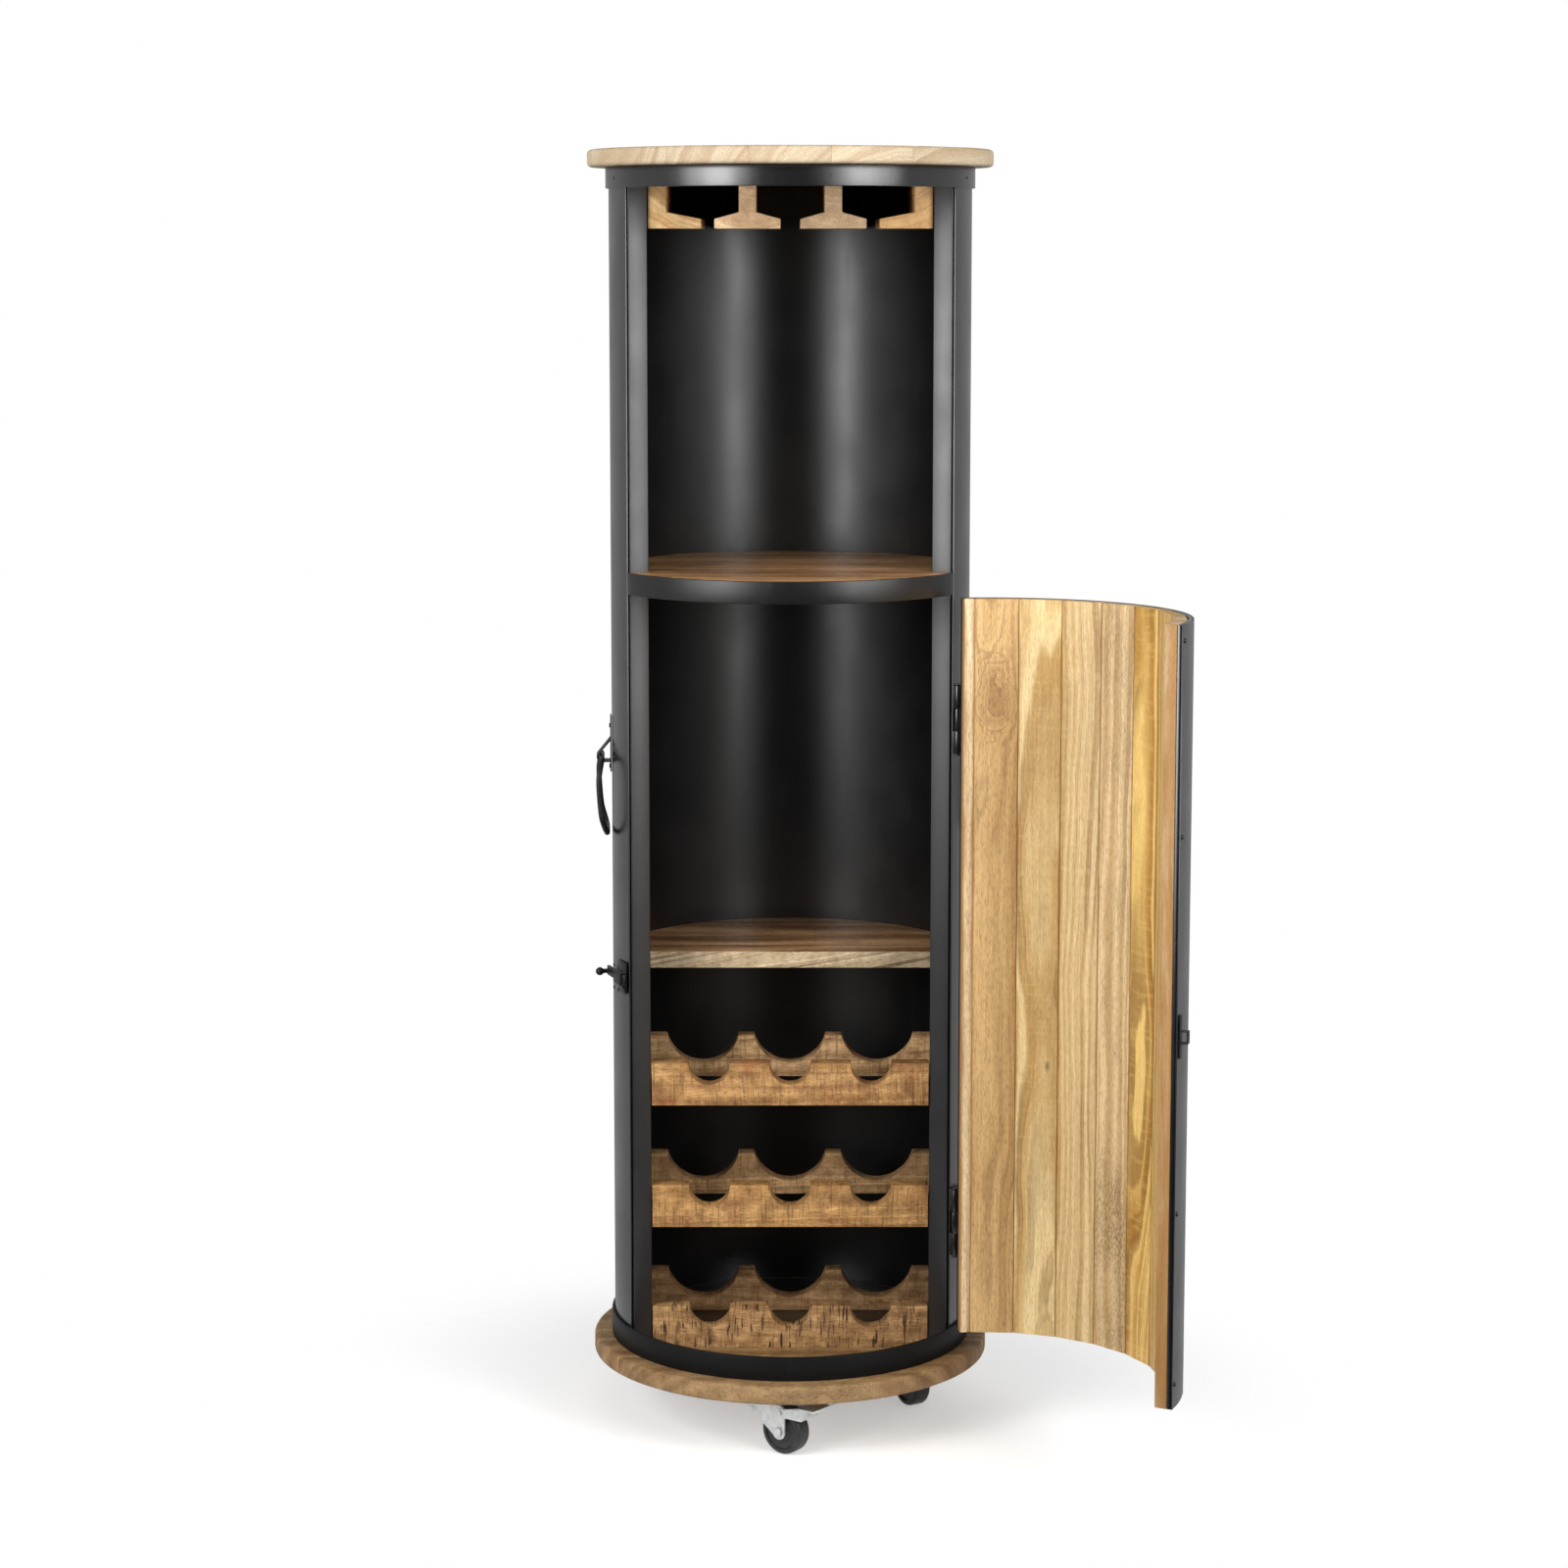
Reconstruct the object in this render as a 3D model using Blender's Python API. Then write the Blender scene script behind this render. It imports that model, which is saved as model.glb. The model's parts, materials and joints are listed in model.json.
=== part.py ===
"""Round wine cabinet on casters: a sheet metal drum between two wooden boards.

Metres, +Z up. Angles round the drum are measured from the front, positive towards the hinge side.
The cabinet stands on z = 0 with its box centred on the origin, door open.
"""
import math

import bmesh
import bpy
from mathutils import Vector

# Fits
SEAT = 0.0003               # gap where one piece rests on, or is fixed to, another
SHELF_PLAY = 0.0005         # wooden edge to drum wall or jamb
DOOR_REVEAL = 0.002         # door to the rails above and below it
PIN_PLAY = 0.0003           # pin or axle to its bore
KNUCKLE_PLAY = 0.0005       # hinge knuckle to hinge knuckle, along the pin
BOLT_PLAY = 0.0005          # latch bolt to its guide
BAIL_PLAY = 0.0007          # handle bail to its strap eye
WHEEL_PLAY = 0.0009         # wheel to each fork leg
CUT_OVERRUN = 0.01          # how far a cutter runs past what it cuts

# Boards
BOARD_RADIUS = 0.215
BASE_THICKNESS = 0.020
TOP_THICKNESS = 0.018
BOARD_ROUND = 0.004         # rounded edge of both boards

# Drum
SHELL_RADIUS = 0.1925
SHEET = 0.0015
DRUM_HEIGHT = 1.265
OPENING_HALF = math.radians(63)
HOOP_BAR = 0.003
TOP_HOOP_HEIGHT = 0.022
BOTTOM_HOOP_HEIGHT = 0.026
JAMB_SIDE = 0.022
JAMB_WALL = 0.002
RAIL_BAR = 0.003            # rolled angle under the upper shelf's front
RAIL_LEDGE = 0.020

# Shelves, heights of their tops above the base board
UPPER_SHELF_HEIGHT = 0.843
UPPER_SHELF_THICKNESS = 0.020
LOWER_SHELF_HEIGHT = 0.423
LOWER_SHELF_THICKNESS = 0.018
LOWER_SHELF_FRONT = -0.010  # y of its straight front edge

# Bottle racks
RACK_LEVELS = 3
RACK_PITCH = 0.134
RACK_BAR_HEIGHT = 0.046
RACK_BAR_THICKNESS = 0.022
BOTTLES = 3
FRONT_BAR_PROUD = 0.002     # front bars stand this far in front of the jambs' inner corners
NECK_RADIUS = 0.022
NECK_DEPTH = 0.0235
NECK_PITCH = 0.087
BACK_BAR_FACE = 0.060
BODY_RADIUS = 0.041
BODY_DEPTH = 0.031
BODY_PITCH = 0.097

# Glass hanger rails
GLASS_RAIL_DROP = 0.0645    # hanger rails hang this far below the top board
GLASS_RAIL_SETBACK = 0.004  # front ends behind the jambs' inner corners
GLASS_SLOT = 0.0206         # between the middle rails' flanges
SIDE_SLOT = 0.0137          # between a middle rail's flange and a side rail's
GLASS_FLANGE_HALF = 0.0345
GLASS_FLANGE_EDGE = 0.010
GLASS_FLANGE_CROWN = 0.007
GLASS_STEM = 0.018
SIDE_STEM = 0.019

# Door
STAVES = 8
STARTER_STAVE = 0.012       # narrow strip glued to the first stave's hinge side
STAVE_THICKNESS = 0.0125
STAVE_JOINT = 0.0004        # gap between staves
DOOR_PROUD = 0.0028         # door's outer face past the drum's
DOOR_EDGE_GAP = 0.004       # along the drum, opening's edge to door's edge
DOOR_FRAME_BAR = 0.004
DOOR_FRAME_WIDTH = 0.030
DOOR_OPEN = math.radians(126)

# Hinges
LOWER_HINGE_INSET = 0.079   # hinge's end above the door's foot
UPPER_HINGE_INSET = 0.094   # hinge's end below the door's top
HINGE_HEIGHT = 0.072
HINGE_LEAF = 0.026
HINGE_LEAF_THICKNESS = 0.002
KNUCKLE_RADIUS = 0.0035
KNUCKLES = 3
PIN_RADIUS = 0.0018
PIN_HEAD_LIP = 0.0012       # head past the pin, all round
PIN_HEAD_HEIGHT = 0.0020

# Latch
LATCH_HEIGHT = 0.408        # bolt's middle above the base board
LATCH_SETBACK = 0.027       # along the drum, latch's middle to the opening's edge, where the bolt ends
BOLT_THICKNESS = 0.0034
BOLT_HEIGHT = 0.010
BOLT_TAIL = 0.030           # bolt behind its guide
GUIDE_INSET = 0.003         # guide's end to the opening's edge
GUIDE_LENGTH = 0.026
GUIDE_HEIGHT = 0.034
LATCH_SHEET = 0.0015
KNOB_INSET = 0.006          # knob's middle from the bolt's tail end
KNOB_STEM_RADIUS = 0.0025
KNOB_STEM = 0.006
KNOB_RADIUS = 0.0045
KEEPER_INSET = 0.0075       # keeper's middle from the door's free edge
KEEPER_HEIGHT = 0.044
KEEPER_LENGTH = 0.008
KEEPER_SHEET = 0.0012
KEEPER_GAP = 0.0066         # room for the bolt, which enters at a slant

# Side handles
HANDLE_HEIGHT = 0.638       # bail pivot above the base board
HANDLE_TURN = math.radians(2.8)     # of the line from handle to handle, left one to the front
BAIL_RADIUS = 0.0035
BAIL_STANDOFF = 0.0105      # pivot to drum surface
BAIL_HALF_WIDTH = 0.048
BAIL_DROP = 0.080
BAIL_CORNER = 0.022
BAIL_BOW = 0.007
BAIL_FOOT_GAP = 0.0015      # its foot leans in to this far from the drum
STRAP_WIDTH = 0.022
STRAP_SHEET = 0.0015
STRAP_TOP = 0.044
STRAP_BOTTOM = -0.016
STRAP_EYE_TOP = 0.020
STRAP_BROW = math.radians(50)   # where the eye leaves its curl for the drum

# Casters
CASTER_CIRCLE = 0.150
CASTER_ANGLES = {"front": -10, "right": 80, "rear": 170, "left": 260}
CASTER_TRAILS = {"front": -37, "right": 120, "rear": 300, "left": 42}   # heading of each wheel at rest
CASTER_TRAIL = 0.027
PLATE_SIDE = 0.060
PLATE_THICKNESS = 0.0025
PLATE_CORNER = 0.007
SWIVEL_RADIUS = 0.017
SWIVEL_HEIGHT = 0.005
FORK_SHEET = 0.0025
FORK_HALF_LENGTH = 0.020
FORK_EAR = 0.008
FORK_CHEEK = 0.0085         # behind the axle, the cheeks' upper back corner
EAR_FRONT = math.radians(205)   # where the ear's curve meets the fork's front edge
EAR_BACK = math.radians(375)    # and its back edge
WHEEL_RADIUS = 0.025
WHEEL_WIDTH = 0.020
WHEEL_HEADROOM = 0.0064     # wheel's top to the fork's crown
WHEEL_TYRE = 0.005          # tyre's depth
WHEEL_HUB = 0.0105
WHEEL_DISH = 0.0025         # how far the wheel's web lies below its hub
WHEEL_CROWN = 0.0035        # rounding of the tyre's shoulders
AXLE_RADIUS = 0.003
AXLE_HEAD_RADIUS = 0.005
AXLE_HEAD = 0.0035

# Foot brake of one caster
BRAKED_CASTER = "front"
BRAKE_BACK = 0.0035         # rivet behind the axle
BRAKE_RISE = 0.022          # rivet above the axle
BRAKE_RIVET = 0.002
BRAKE_RIVET_END = 0.0008    # rivet past the lever's cheek
BRAKE_BOSS = 0.0042
BRAKE_SHEET = 0.0018
BRAKE_ARM = 0.0275          # rivet to the heel, which meets the tyre
BRAKE_STEP = 0.008          # pedal's underside above the rivet
BRAKE_PEDAL = 0.016
BRAKE_LIP = 0.008
BRAKE_LIP_RISE = 0.004

# Facets
ROUND_STEPS = 64            # boards, hoops and shelves
ARC_STEP = math.radians(5.6)
FINE_STEP = math.radians(18)    # small arcs in an outline
RIM_STEP = math.radians(45)     # rims of the boards
SMALL_STEPS = 16            # pins, bores and knobs
WHEEL_STEPS = 24
SHARP_EDGE = math.radians(32)

# Levels
BASE_LOW = 2 * WHEEL_RADIUS + WHEEL_HEADROOM + FORK_SHEET + SWIVEL_HEIGHT + PLATE_THICKNESS + 2 * SEAT
BASE_TOP = BASE_LOW + BASE_THICKNESS
DRUM_LOW = BASE_TOP + SEAT
DRUM_TOP = DRUM_LOW + DRUM_HEIGHT
TOP_LOW = DRUM_TOP + SEAT
UPPER_SHELF_TOP = BASE_TOP + UPPER_SHELF_HEIGHT
UPPER_SHELF_LOW = UPPER_SHELF_TOP - UPPER_SHELF_THICKNESS
RAIL_LOW = UPPER_SHELF_LOW - SEAT - RAIL_BAR
DOOR_LOW = DRUM_LOW + BOTTOM_HOOP_HEIGHT + DOOR_REVEAL
DOOR_TOP = RAIL_LOW - DOOR_REVEAL

# Radii
WALL_RADIUS = SHELL_RADIUS - SHEET
WALL_FLAT = WALL_RADIUS * math.cos(ARC_STEP / 2)     # drum middle to the flats of the faceted wall
JAMB_OUTER = math.sqrt((WALL_FLAT - SEAT) ** 2 - JAMB_SIDE ** 2)
JAMB_INNER = JAMB_OUTER - JAMB_SIDE
DOOR_RADIUS = SHELL_RADIUS + DOOR_PROUD
SKIN_RADIUS = DOOR_RADIUS - SHEET
DOOR_FRAME_OUTER = SKIN_RADIUS - SEAT
DOOR_FRAME_INNER = DOOR_FRAME_OUTER - DOOR_FRAME_BAR
HINGE_RADIUS = DOOR_RADIUS + SEAT + KNUCKLE_RADIUS

# Angles
DOOR_HALF = OPENING_HALF - DOOR_EDGE_GAP / SHELL_RADIUS
STARTER_SPREAD = STARTER_STAVE / DOOR_FRAME_INNER
STAVE_SPREAD = (2 * DOOR_HALF - STARTER_SPREAD) / STAVES
HINGE_ANGLE = (OPENING_HALF + DOOR_HALF) / 2
LATCH_ANGLE = -OPENING_HALF - LATCH_SETBACK / SHELL_RADIUS
KEEPER_ANGLE = KEEPER_INSET / DOOR_RADIUS - DOOR_HALF


def material(name, colour, roughness, metallic=0.0):
    made = bpy.data.materials.new(name)
    made.use_nodes = True
    shader = made.node_tree.nodes["Principled BSDF"]
    shader.inputs["Base Color"].default_value = (*colour, 1)
    shader.inputs["Roughness"].default_value = roughness
    shader.inputs["Metallic"].default_value = metallic
    return made


def empty(name, place, turn=0.0, parent=None):
    made = bpy.data.objects.new(name, None)
    made.location = place
    made.rotation_euler.z = turn
    made.parent = parent
    bpy.context.collection.objects.link(made)
    return made


def piece(name, mesh, finish, parent, place=(0, 0, 0), turn=(0, 0, 0)):
    """One sub-part from a bmesh, smooth over its shallow edges."""
    bmesh.ops.recalc_face_normals(mesh, faces=mesh.faces)
    data = bpy.data.meshes.new(name)
    mesh.to_mesh(data)
    mesh.free()
    data.shade_smooth()
    data.set_sharp_from_angle(angle=SHARP_EDGE)
    made = bpy.data.objects.new(name, data)
    made.location = place
    made.rotation_euler = turn
    made.parent = parent
    if finish:
        data.materials.append(finish)
    bpy.context.collection.objects.link(made)
    return made


def combine(target, how, name, mesh):
    """A Boolean on target, with a hidden guide object that shares its place."""
    guide = piece(name, mesh, None, target.parent, target.location, target.rotation_euler)
    guide.hide_render = True
    guide.display_type = "WIRE"
    step = target.modifiers.new(name, "BOOLEAN")
    step.operation = how
    step.object = guide
    return guide


def at(radius, angle):
    """A point on the plan, angle from the front towards the hinge side."""
    return Vector((radius * math.sin(angle), -radius * math.cos(angle)))


def arc(centre, radius, start, end, step=FINE_STEP):
    """Points of a plain circular arc, angles from the first axis towards the second."""
    steps = max(2, round(abs(end - start) / step))
    turns = [start + (end - start) * i / steps for i in range(steps + 1)]
    return [(centre[0] + radius * math.cos(t), centre[1] + radius * math.sin(t)) for t in turns]


def drum_arc(radius, start, end):
    steps = max(2, round(abs(end - start) / ARC_STEP))
    return [at(radius, start + (end - start) * i / steps) for i in range(steps + 1)]


def prism(outline, low, high, axes=(0, 1, 2)):
    """Extrudes a plane outline; axes says where its first, second and rising directions go."""
    mesh = bmesh.new()
    corners = []
    for first, second in outline:
        spot = [0.0, 0.0, 0.0]
        spot[axes[0]] = first
        spot[axes[1]] = second
        spot[axes[2]] = low
        corners.append(mesh.verts.new(spot))
    face = mesh.faces.new(corners)
    rise = [0.0, 0.0, 0.0]
    rise[axes[2]] = high - low
    grown = bmesh.ops.extrude_face_region(mesh, geom=[face])
    lifted = [item for item in grown["geom"] if isinstance(item, bmesh.types.BMVert)]
    bmesh.ops.translate(mesh, verts=lifted, vec=rise)
    return mesh


def box(low, high):
    outline = [(low[0], low[1]), (high[0], low[1]), (high[0], high[1]), (low[0], high[1])]
    return prism(outline, low[2], high[2])


def sector(inner, outer, start, end, low, high):
    """A curved bar or sheet that follows the drum."""
    return prism(drum_arc(outer, start, end) + drum_arc(inner, end, start), low, high)


def turned(profile, steps, closed=False):
    """Spins (radius, height) points about Z; a closed profile makes a ring."""
    mesh = bmesh.new()
    corners = [mesh.verts.new((radius, 0, height)) for radius, height in profile]
    edges = [mesh.edges.new(pair) for pair in zip(corners, corners[1:])]
    if closed:
        edges.append(mesh.edges.new((corners[-1], corners[0])))
    bmesh.ops.spin(mesh, geom=corners + edges, axis=(0, 0, 1), cent=(0, 0, 0),
                   angle=math.tau, steps=steps, use_merge=True)
    bmesh.ops.remove_doubles(mesh, verts=mesh.verts, dist=1e-7)
    bmesh.ops.dissolve_degenerate(mesh, edges=mesh.edges, dist=1e-7)
    return mesh


def rod(radius, low, high, steps=SMALL_STEPS):
    return turned([(0, low), (radius, low), (radius, high), (0, high)], steps)


def ring(inner, outer, low, high):
    return turned([(inner, low), (outer, low), (outer, high), (inner, high)], ROUND_STEPS, closed=True)


def disc_board(radius, low, high, round_edge):
    """A round board with both rims softened."""
    lower = arc((radius - round_edge, low + round_edge), round_edge, -math.pi / 2, 0, RIM_STEP)
    upper = arc((radius - round_edge, high - round_edge), round_edge, 0, math.pi / 2, RIM_STEP)
    return turned([(0, low)] + lower + upper + [(0, high)], ROUND_STEPS)


def build_boards(cabinet, wood):
    piece("base_board", disc_board(BOARD_RADIUS, BASE_LOW, BASE_TOP, BOARD_ROUND), wood, cabinet)
    top = disc_board(BOARD_RADIUS, TOP_LOW, TOP_LOW + TOP_THICKNESS, BOARD_ROUND)
    piece("top_board", top, wood, cabinet)


def jamb_outline(side, grow=0.0):
    """Plan of a jamb tube: side is 1 at the hinge and -1 at the latch."""
    edge = at(1, side * OPENING_HALF)
    away = Vector((math.cos(OPENING_HALF) * side, math.sin(OPENING_HALF)))
    near_in = edge * (JAMB_INNER - grow) - away * grow
    near_out = edge * (JAMB_OUTER + grow) - away * grow
    span = away * (JAMB_SIDE + 2 * grow)
    return [near_in, near_out, near_out + span, near_in + span]


def build_drum(cabinet, black):
    """Sheet shell with its two hoops, the jambs of the opening and the rail between them."""
    back = sector(WALL_RADIUS, SHELL_RADIUS, OPENING_HALF, math.tau - OPENING_HALF, DRUM_LOW, DRUM_TOP)
    piece("drum_shell", back, black, cabinet)
    hoop_inner = SHELL_RADIUS + SEAT
    hoop_outer = hoop_inner + HOOP_BAR
    top_hoop = ring(hoop_inner, hoop_outer, DRUM_TOP - TOP_HOOP_HEIGHT, DRUM_TOP)
    piece("top_hoop", top_hoop, black, cabinet)
    bottom_hoop = ring(hoop_inner, hoop_outer, DRUM_LOW, DRUM_LOW + BOTTOM_HOOP_HEIGHT)
    piece("bottom_hoop", bottom_hoop, black, cabinet)
    for name, side in (("left_jamb", -1), ("right_jamb", 1)):
        jamb = piece(name, prism(jamb_outline(side), DRUM_LOW, DRUM_TOP), black, cabinet)
        bore = prism(jamb_outline(side, -JAMB_WALL), DRUM_LOW - CUT_OVERRUN, DRUM_TOP + CUT_OVERRUN)
        combine(jamb, "DIFFERENCE", name + "_bore", bore)
    reach = OPENING_HALF - SEAT / JAMB_INNER
    rail = sector(SHELL_RADIUS - RAIL_BAR, SHELL_RADIUS, -reach, reach, RAIL_LOW, UPPER_SHELF_TOP)
    rail = piece("mid_rail", rail, black, cabinet)
    ledge = sector(SHELL_RADIUS - RAIL_LEDGE, SHELL_RADIUS - RAIL_BAR / 2, -reach, reach,
                   RAIL_LOW, RAIL_LOW + RAIL_BAR)
    combine(rail, "UNION", "mid_rail_ledge", ledge)


def build_shelves(cabinet, wood):
    """Full disc above, notched round the jambs, and a half disc below."""
    disc_radius = SHELL_RADIUS - RAIL_BAR - SEAT
    upper = rod(disc_radius, UPPER_SHELF_LOW, UPPER_SHELF_TOP, ROUND_STEPS)
    upper = piece("upper_shelf", upper, wood, cabinet)
    for name, side in (("upper_shelf_notch_left", -1), ("upper_shelf_notch_right", 1)):
        outline = jamb_outline(side, SHELF_PLAY)
        notch = prism(outline, UPPER_SHELF_LOW - CUT_OVERRUN, UPPER_SHELF_TOP + CUT_OVERRUN)
        combine(upper, "DIFFERENCE", name, notch)
    half_radius = WALL_RADIUS - SHELF_PLAY
    front = math.acos(-LOWER_SHELF_FRONT / half_radius)
    top = BASE_TOP + LOWER_SHELF_HEIGHT
    lower = prism(drum_arc(half_radius, front, math.tau - front), top - LOWER_SHELF_THICKNESS, top)
    piece("lower_shelf", lower, wood, cabinet)


def scalloped(half_length, low, radius, depth, pitch):
    """Rack bar elevation, scallops cut down into its top edge."""
    top = low + RACK_BAR_HEIGHT
    lift = max(radius - depth, 0)
    half_turn = math.acos(lift / radius)
    outline = [(-half_length, low), (half_length, low), (half_length, top)]
    for bottle in reversed(range(BOTTLES)):
        middle = (bottle - (BOTTLES - 1) / 2) * pitch
        centre = (middle, top - depth + radius)
        if depth > radius:
            outline.append((middle + radius, top))
        outline += arc(centre, radius, half_turn - math.pi / 2, -half_turn - math.pi / 2)
        if depth > radius:
            outline.append((middle - radius, top))
    outline.append((-half_length, top))
    return outline


def build_racks(cabinet, wood):
    """Three tiers, each a front bar for the necks and a back bar for the bodies."""
    jamb_corner = jamb_outline(1)[0]
    front_half = jamb_corner.x - SHELF_PLAY
    front_face = jamb_corner.y - FRONT_BAR_PROUD
    back_end = BACK_BAR_FACE + RACK_BAR_THICKNESS
    back_half = math.sqrt((WALL_RADIUS - SHELF_PLAY) ** 2 - back_end ** 2)
    for tier in range(RACK_LEVELS):
        low = BASE_TOP + SEAT + tier * RACK_PITCH
        necks = scalloped(front_half, low, NECK_RADIUS, NECK_DEPTH, NECK_PITCH)
        piece(f"rack_{tier + 1}_front_bar",
              prism(necks, front_face, front_face + RACK_BAR_THICKNESS, (0, 2, 1)), wood, cabinet)
        bodies = scalloped(back_half, low, BODY_RADIUS, BODY_DEPTH, BODY_PITCH)
        piece(f"rack_{tier + 1}_back_bar", prism(bodies, BACK_BAR_FACE, back_end, (0, 2, 1)), wood, cabinet)


def build_glass_rails(cabinet, wood):
    """Two T rails and two L rails under the top board, for hanging stemware."""
    top = TOP_LOW - SEAT
    low = TOP_LOW - GLASS_RAIL_DROP
    edge = low + GLASS_FLANGE_EDGE
    crown = edge + GLASS_FLANGE_CROWN
    wall = WALL_RADIUS - SHELF_PLAY
    flange, stem = GLASS_FLANGE_HALF, GLASS_STEM / 2
    tee = [(-flange, low), (flange, low), (flange, edge), (stem, crown), (stem, top),
           (-stem, top), (-stem, crown), (-flange, edge)]
    offset = GLASS_SLOT / 2 + flange
    tee_back = math.sqrt(wall ** 2 - (offset + flange) ** 2)
    jamb_corner = jamb_outline(1)[0]
    front = jamb_corner.y + GLASS_RAIL_SETBACK
    lip = offset + flange + SIDE_SLOT
    outer = jamb_corner.x - SHELF_PLAY
    inner = outer - SIDE_STEM
    ell = [(lip, low), (outer, low), (outer, top), (inner, top), (inner, crown), (lip, edge)]
    ell_back = math.sqrt(wall ** 2 - outer ** 2)
    for word, side in (("left", -1), ("right", 1)):
        outline = [(x + side * offset, z) for x, z in tee]
        piece(f"glass_rail_{word}", prism(outline, front, tee_back, (0, 2, 1)), wood, cabinet)
        outline = [(side * x, z) for x, z in ell]
        piece(f"glass_rail_{word}_side", prism(outline, front, ell_back, (0, 2, 1)), wood, cabinet)


def build_door(door, wood, black):
    """Flat staves inside a curved bar frame and an outer skin. Drawn closed, round the drum's axis."""
    hinge = at(HINGE_RADIUS, HINGE_ANGLE)
    axis = (-hinge.x, -hinge.y, 0)
    outer = DOOR_FRAME_INNER - SEAT
    inner = outer - STAVE_THICKNESS / math.cos(STAVE_SPREAD / 2)
    gap = STAVE_JOINT / 2 / inner
    for index in range(STAVES):
        first = DOOR_HALF - STARTER_SPREAD - index * STAVE_SPREAD
        corners = [first - gap, first - STAVE_SPREAD + gap]
        if index == 0:
            corners = [DOOR_HALF - gap, first, corners[1]]
        outline = [at(outer, angle) for angle in corners] + [at(inner, angle) for angle in reversed(corners)]
        piece(f"door_stave_{index + 1}", prism(outline, DOOR_LOW, DOOR_TOP), wood, door, axis)
    frame = sector(DOOR_FRAME_INNER, DOOR_FRAME_OUTER, -DOOR_HALF, DOOR_HALF, DOOR_LOW, DOOR_TOP)
    frame = piece("door_frame", frame, black, door, axis)
    pane = DOOR_HALF - DOOR_FRAME_WIDTH / DOOR_FRAME_INNER
    window = sector(DOOR_FRAME_INNER - CUT_OVERRUN, DOOR_FRAME_OUTER + CUT_OVERRUN, -pane, pane,
                    DOOR_LOW + DOOR_FRAME_WIDTH, DOOR_TOP - DOOR_FRAME_WIDTH)
    combine(frame, "DIFFERENCE", "door_frame_window", window)
    skin = sector(SKIN_RADIUS, DOOR_RADIUS, -DOOR_HALF, DOOR_HALF, DOOR_LOW, DOOR_TOP)
    piece("door_skin", skin, black, door, axis)


def leaf_outline(side, seat, reach):
    """Plan of a hinge leaf curled round the pin; outward is -Y and side is +1 away from the door."""
    curl = arc((0, 0), KNUCKLE_RADIUS, 0, -1.5 * math.pi)
    outline = [(reach, seat), (reach, seat - HINGE_LEAF_THICKNESS),
               (KNUCKLE_RADIUS, min(seat - HINGE_LEAF_THICKNESS, KNUCKLE_RADIUS / 2))]
    outline += curl + [(0, seat)]
    return [(side * x, y) for x, y in outline]


def build_hinges(cabinet, door, steel):
    """Two butt hinges on the outer faces of shell and door skin, each with a loose pin."""
    place = at(HINGE_RADIUS, HINGE_ANGLE)
    knuckle = HINGE_HEIGHT / KNUCKLES
    sweep = KNUCKLE_RADIUS + KNUCKLE_PLAY
    shell_seat = HINGE_RADIUS - SHELL_RADIUS - SEAT
    skin_seat = HINGE_RADIUS - DOOR_RADIUS - SEAT
    head_radius = PIN_RADIUS + PIN_HEAD_LIP
    lows = {"lower": DOOR_LOW + LOWER_HINGE_INSET, "upper": DOOR_TOP - UPPER_HINGE_INSET - HINGE_HEIGHT}
    for word, low in lows.items():
        turn = (0, 0, HINGE_ANGLE)
        fixed_outline = leaf_outline(1, shell_seat, HINGE_LEAF)
        fixed = piece(f"{word}_hinge_frame_leaf", prism(fixed_outline, 0, HINGE_HEIGHT), steel, cabinet,
                      (place.x, place.y, low), turn)
        room = box((-sweep, -sweep, knuckle - KNUCKLE_PLAY / 2),
                   (sweep, shell_seat + CUT_OVERRUN, 2 * knuckle + KNUCKLE_PLAY / 2))
        combine(fixed, "DIFFERENCE", f"{word}_hinge_frame_gap", room)
        swinging_outline = leaf_outline(-1, skin_seat, HINGE_LEAF)
        swinging = piece(f"{word}_hinge_door_leaf", prism(swinging_outline, 0, HINGE_HEIGHT), steel, door,
                         (0, 0, low), turn)
        for end, first in (("bottom", -CUT_OVERRUN), ("top", 2 * knuckle - KNUCKLE_PLAY / 2)):
            room = box((-sweep, -sweep, first),
                       (sweep, skin_seat + CUT_OVERRUN, first + knuckle + KNUCKLE_PLAY / 2 + CUT_OVERRUN))
            combine(swinging, "DIFFERENCE", f"{word}_hinge_door_gap_{end}", room)
        for leaf in (fixed, swinging):
            bore = rod(PIN_RADIUS + PIN_PLAY, -CUT_OVERRUN, HINGE_HEIGHT + CUT_OVERRUN)
            combine(leaf, "DIFFERENCE", leaf.name + "_bore", bore)
        low_head, top_head = -SEAT, HINGE_HEIGHT + SEAT
        pin = [(0, low_head - PIN_HEAD_HEIGHT), (head_radius, low_head - PIN_HEAD_HEIGHT),
               (head_radius, low_head), (PIN_RADIUS, low_head), (PIN_RADIUS, top_head),
               (head_radius, top_head), (head_radius, top_head + PIN_HEAD_HEIGHT),
               (0, top_head + PIN_HEAD_HEIGHT)]
        piece(f"{word}_hinge_pin", turned(pin, SMALL_STEPS), steel, cabinet, (place.x, place.y, low))


def bridge(start, end, height, sheet, slot_height, slot_depth):
    """A plate with a raised bridge over its middle, outward -Y; returns the body and its slot."""
    half, hump = height / 2, slot_height / 2 + sheet
    top = 2 * sheet + slot_depth
    outline = [(0, -half), (-sheet, -half), (-sheet, -hump), (-top, -hump), (-top, hump), (-sheet, hump),
               (-sheet, half), (0, half)]
    body = prism(outline, start, end, (1, 2, 0))
    slot = box((start - CUT_OVERRUN, -sheet - slot_depth, -slot_height / 2),
               (end + CUT_OVERRUN, -sheet, slot_height / 2))
    return body, slot


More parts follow.
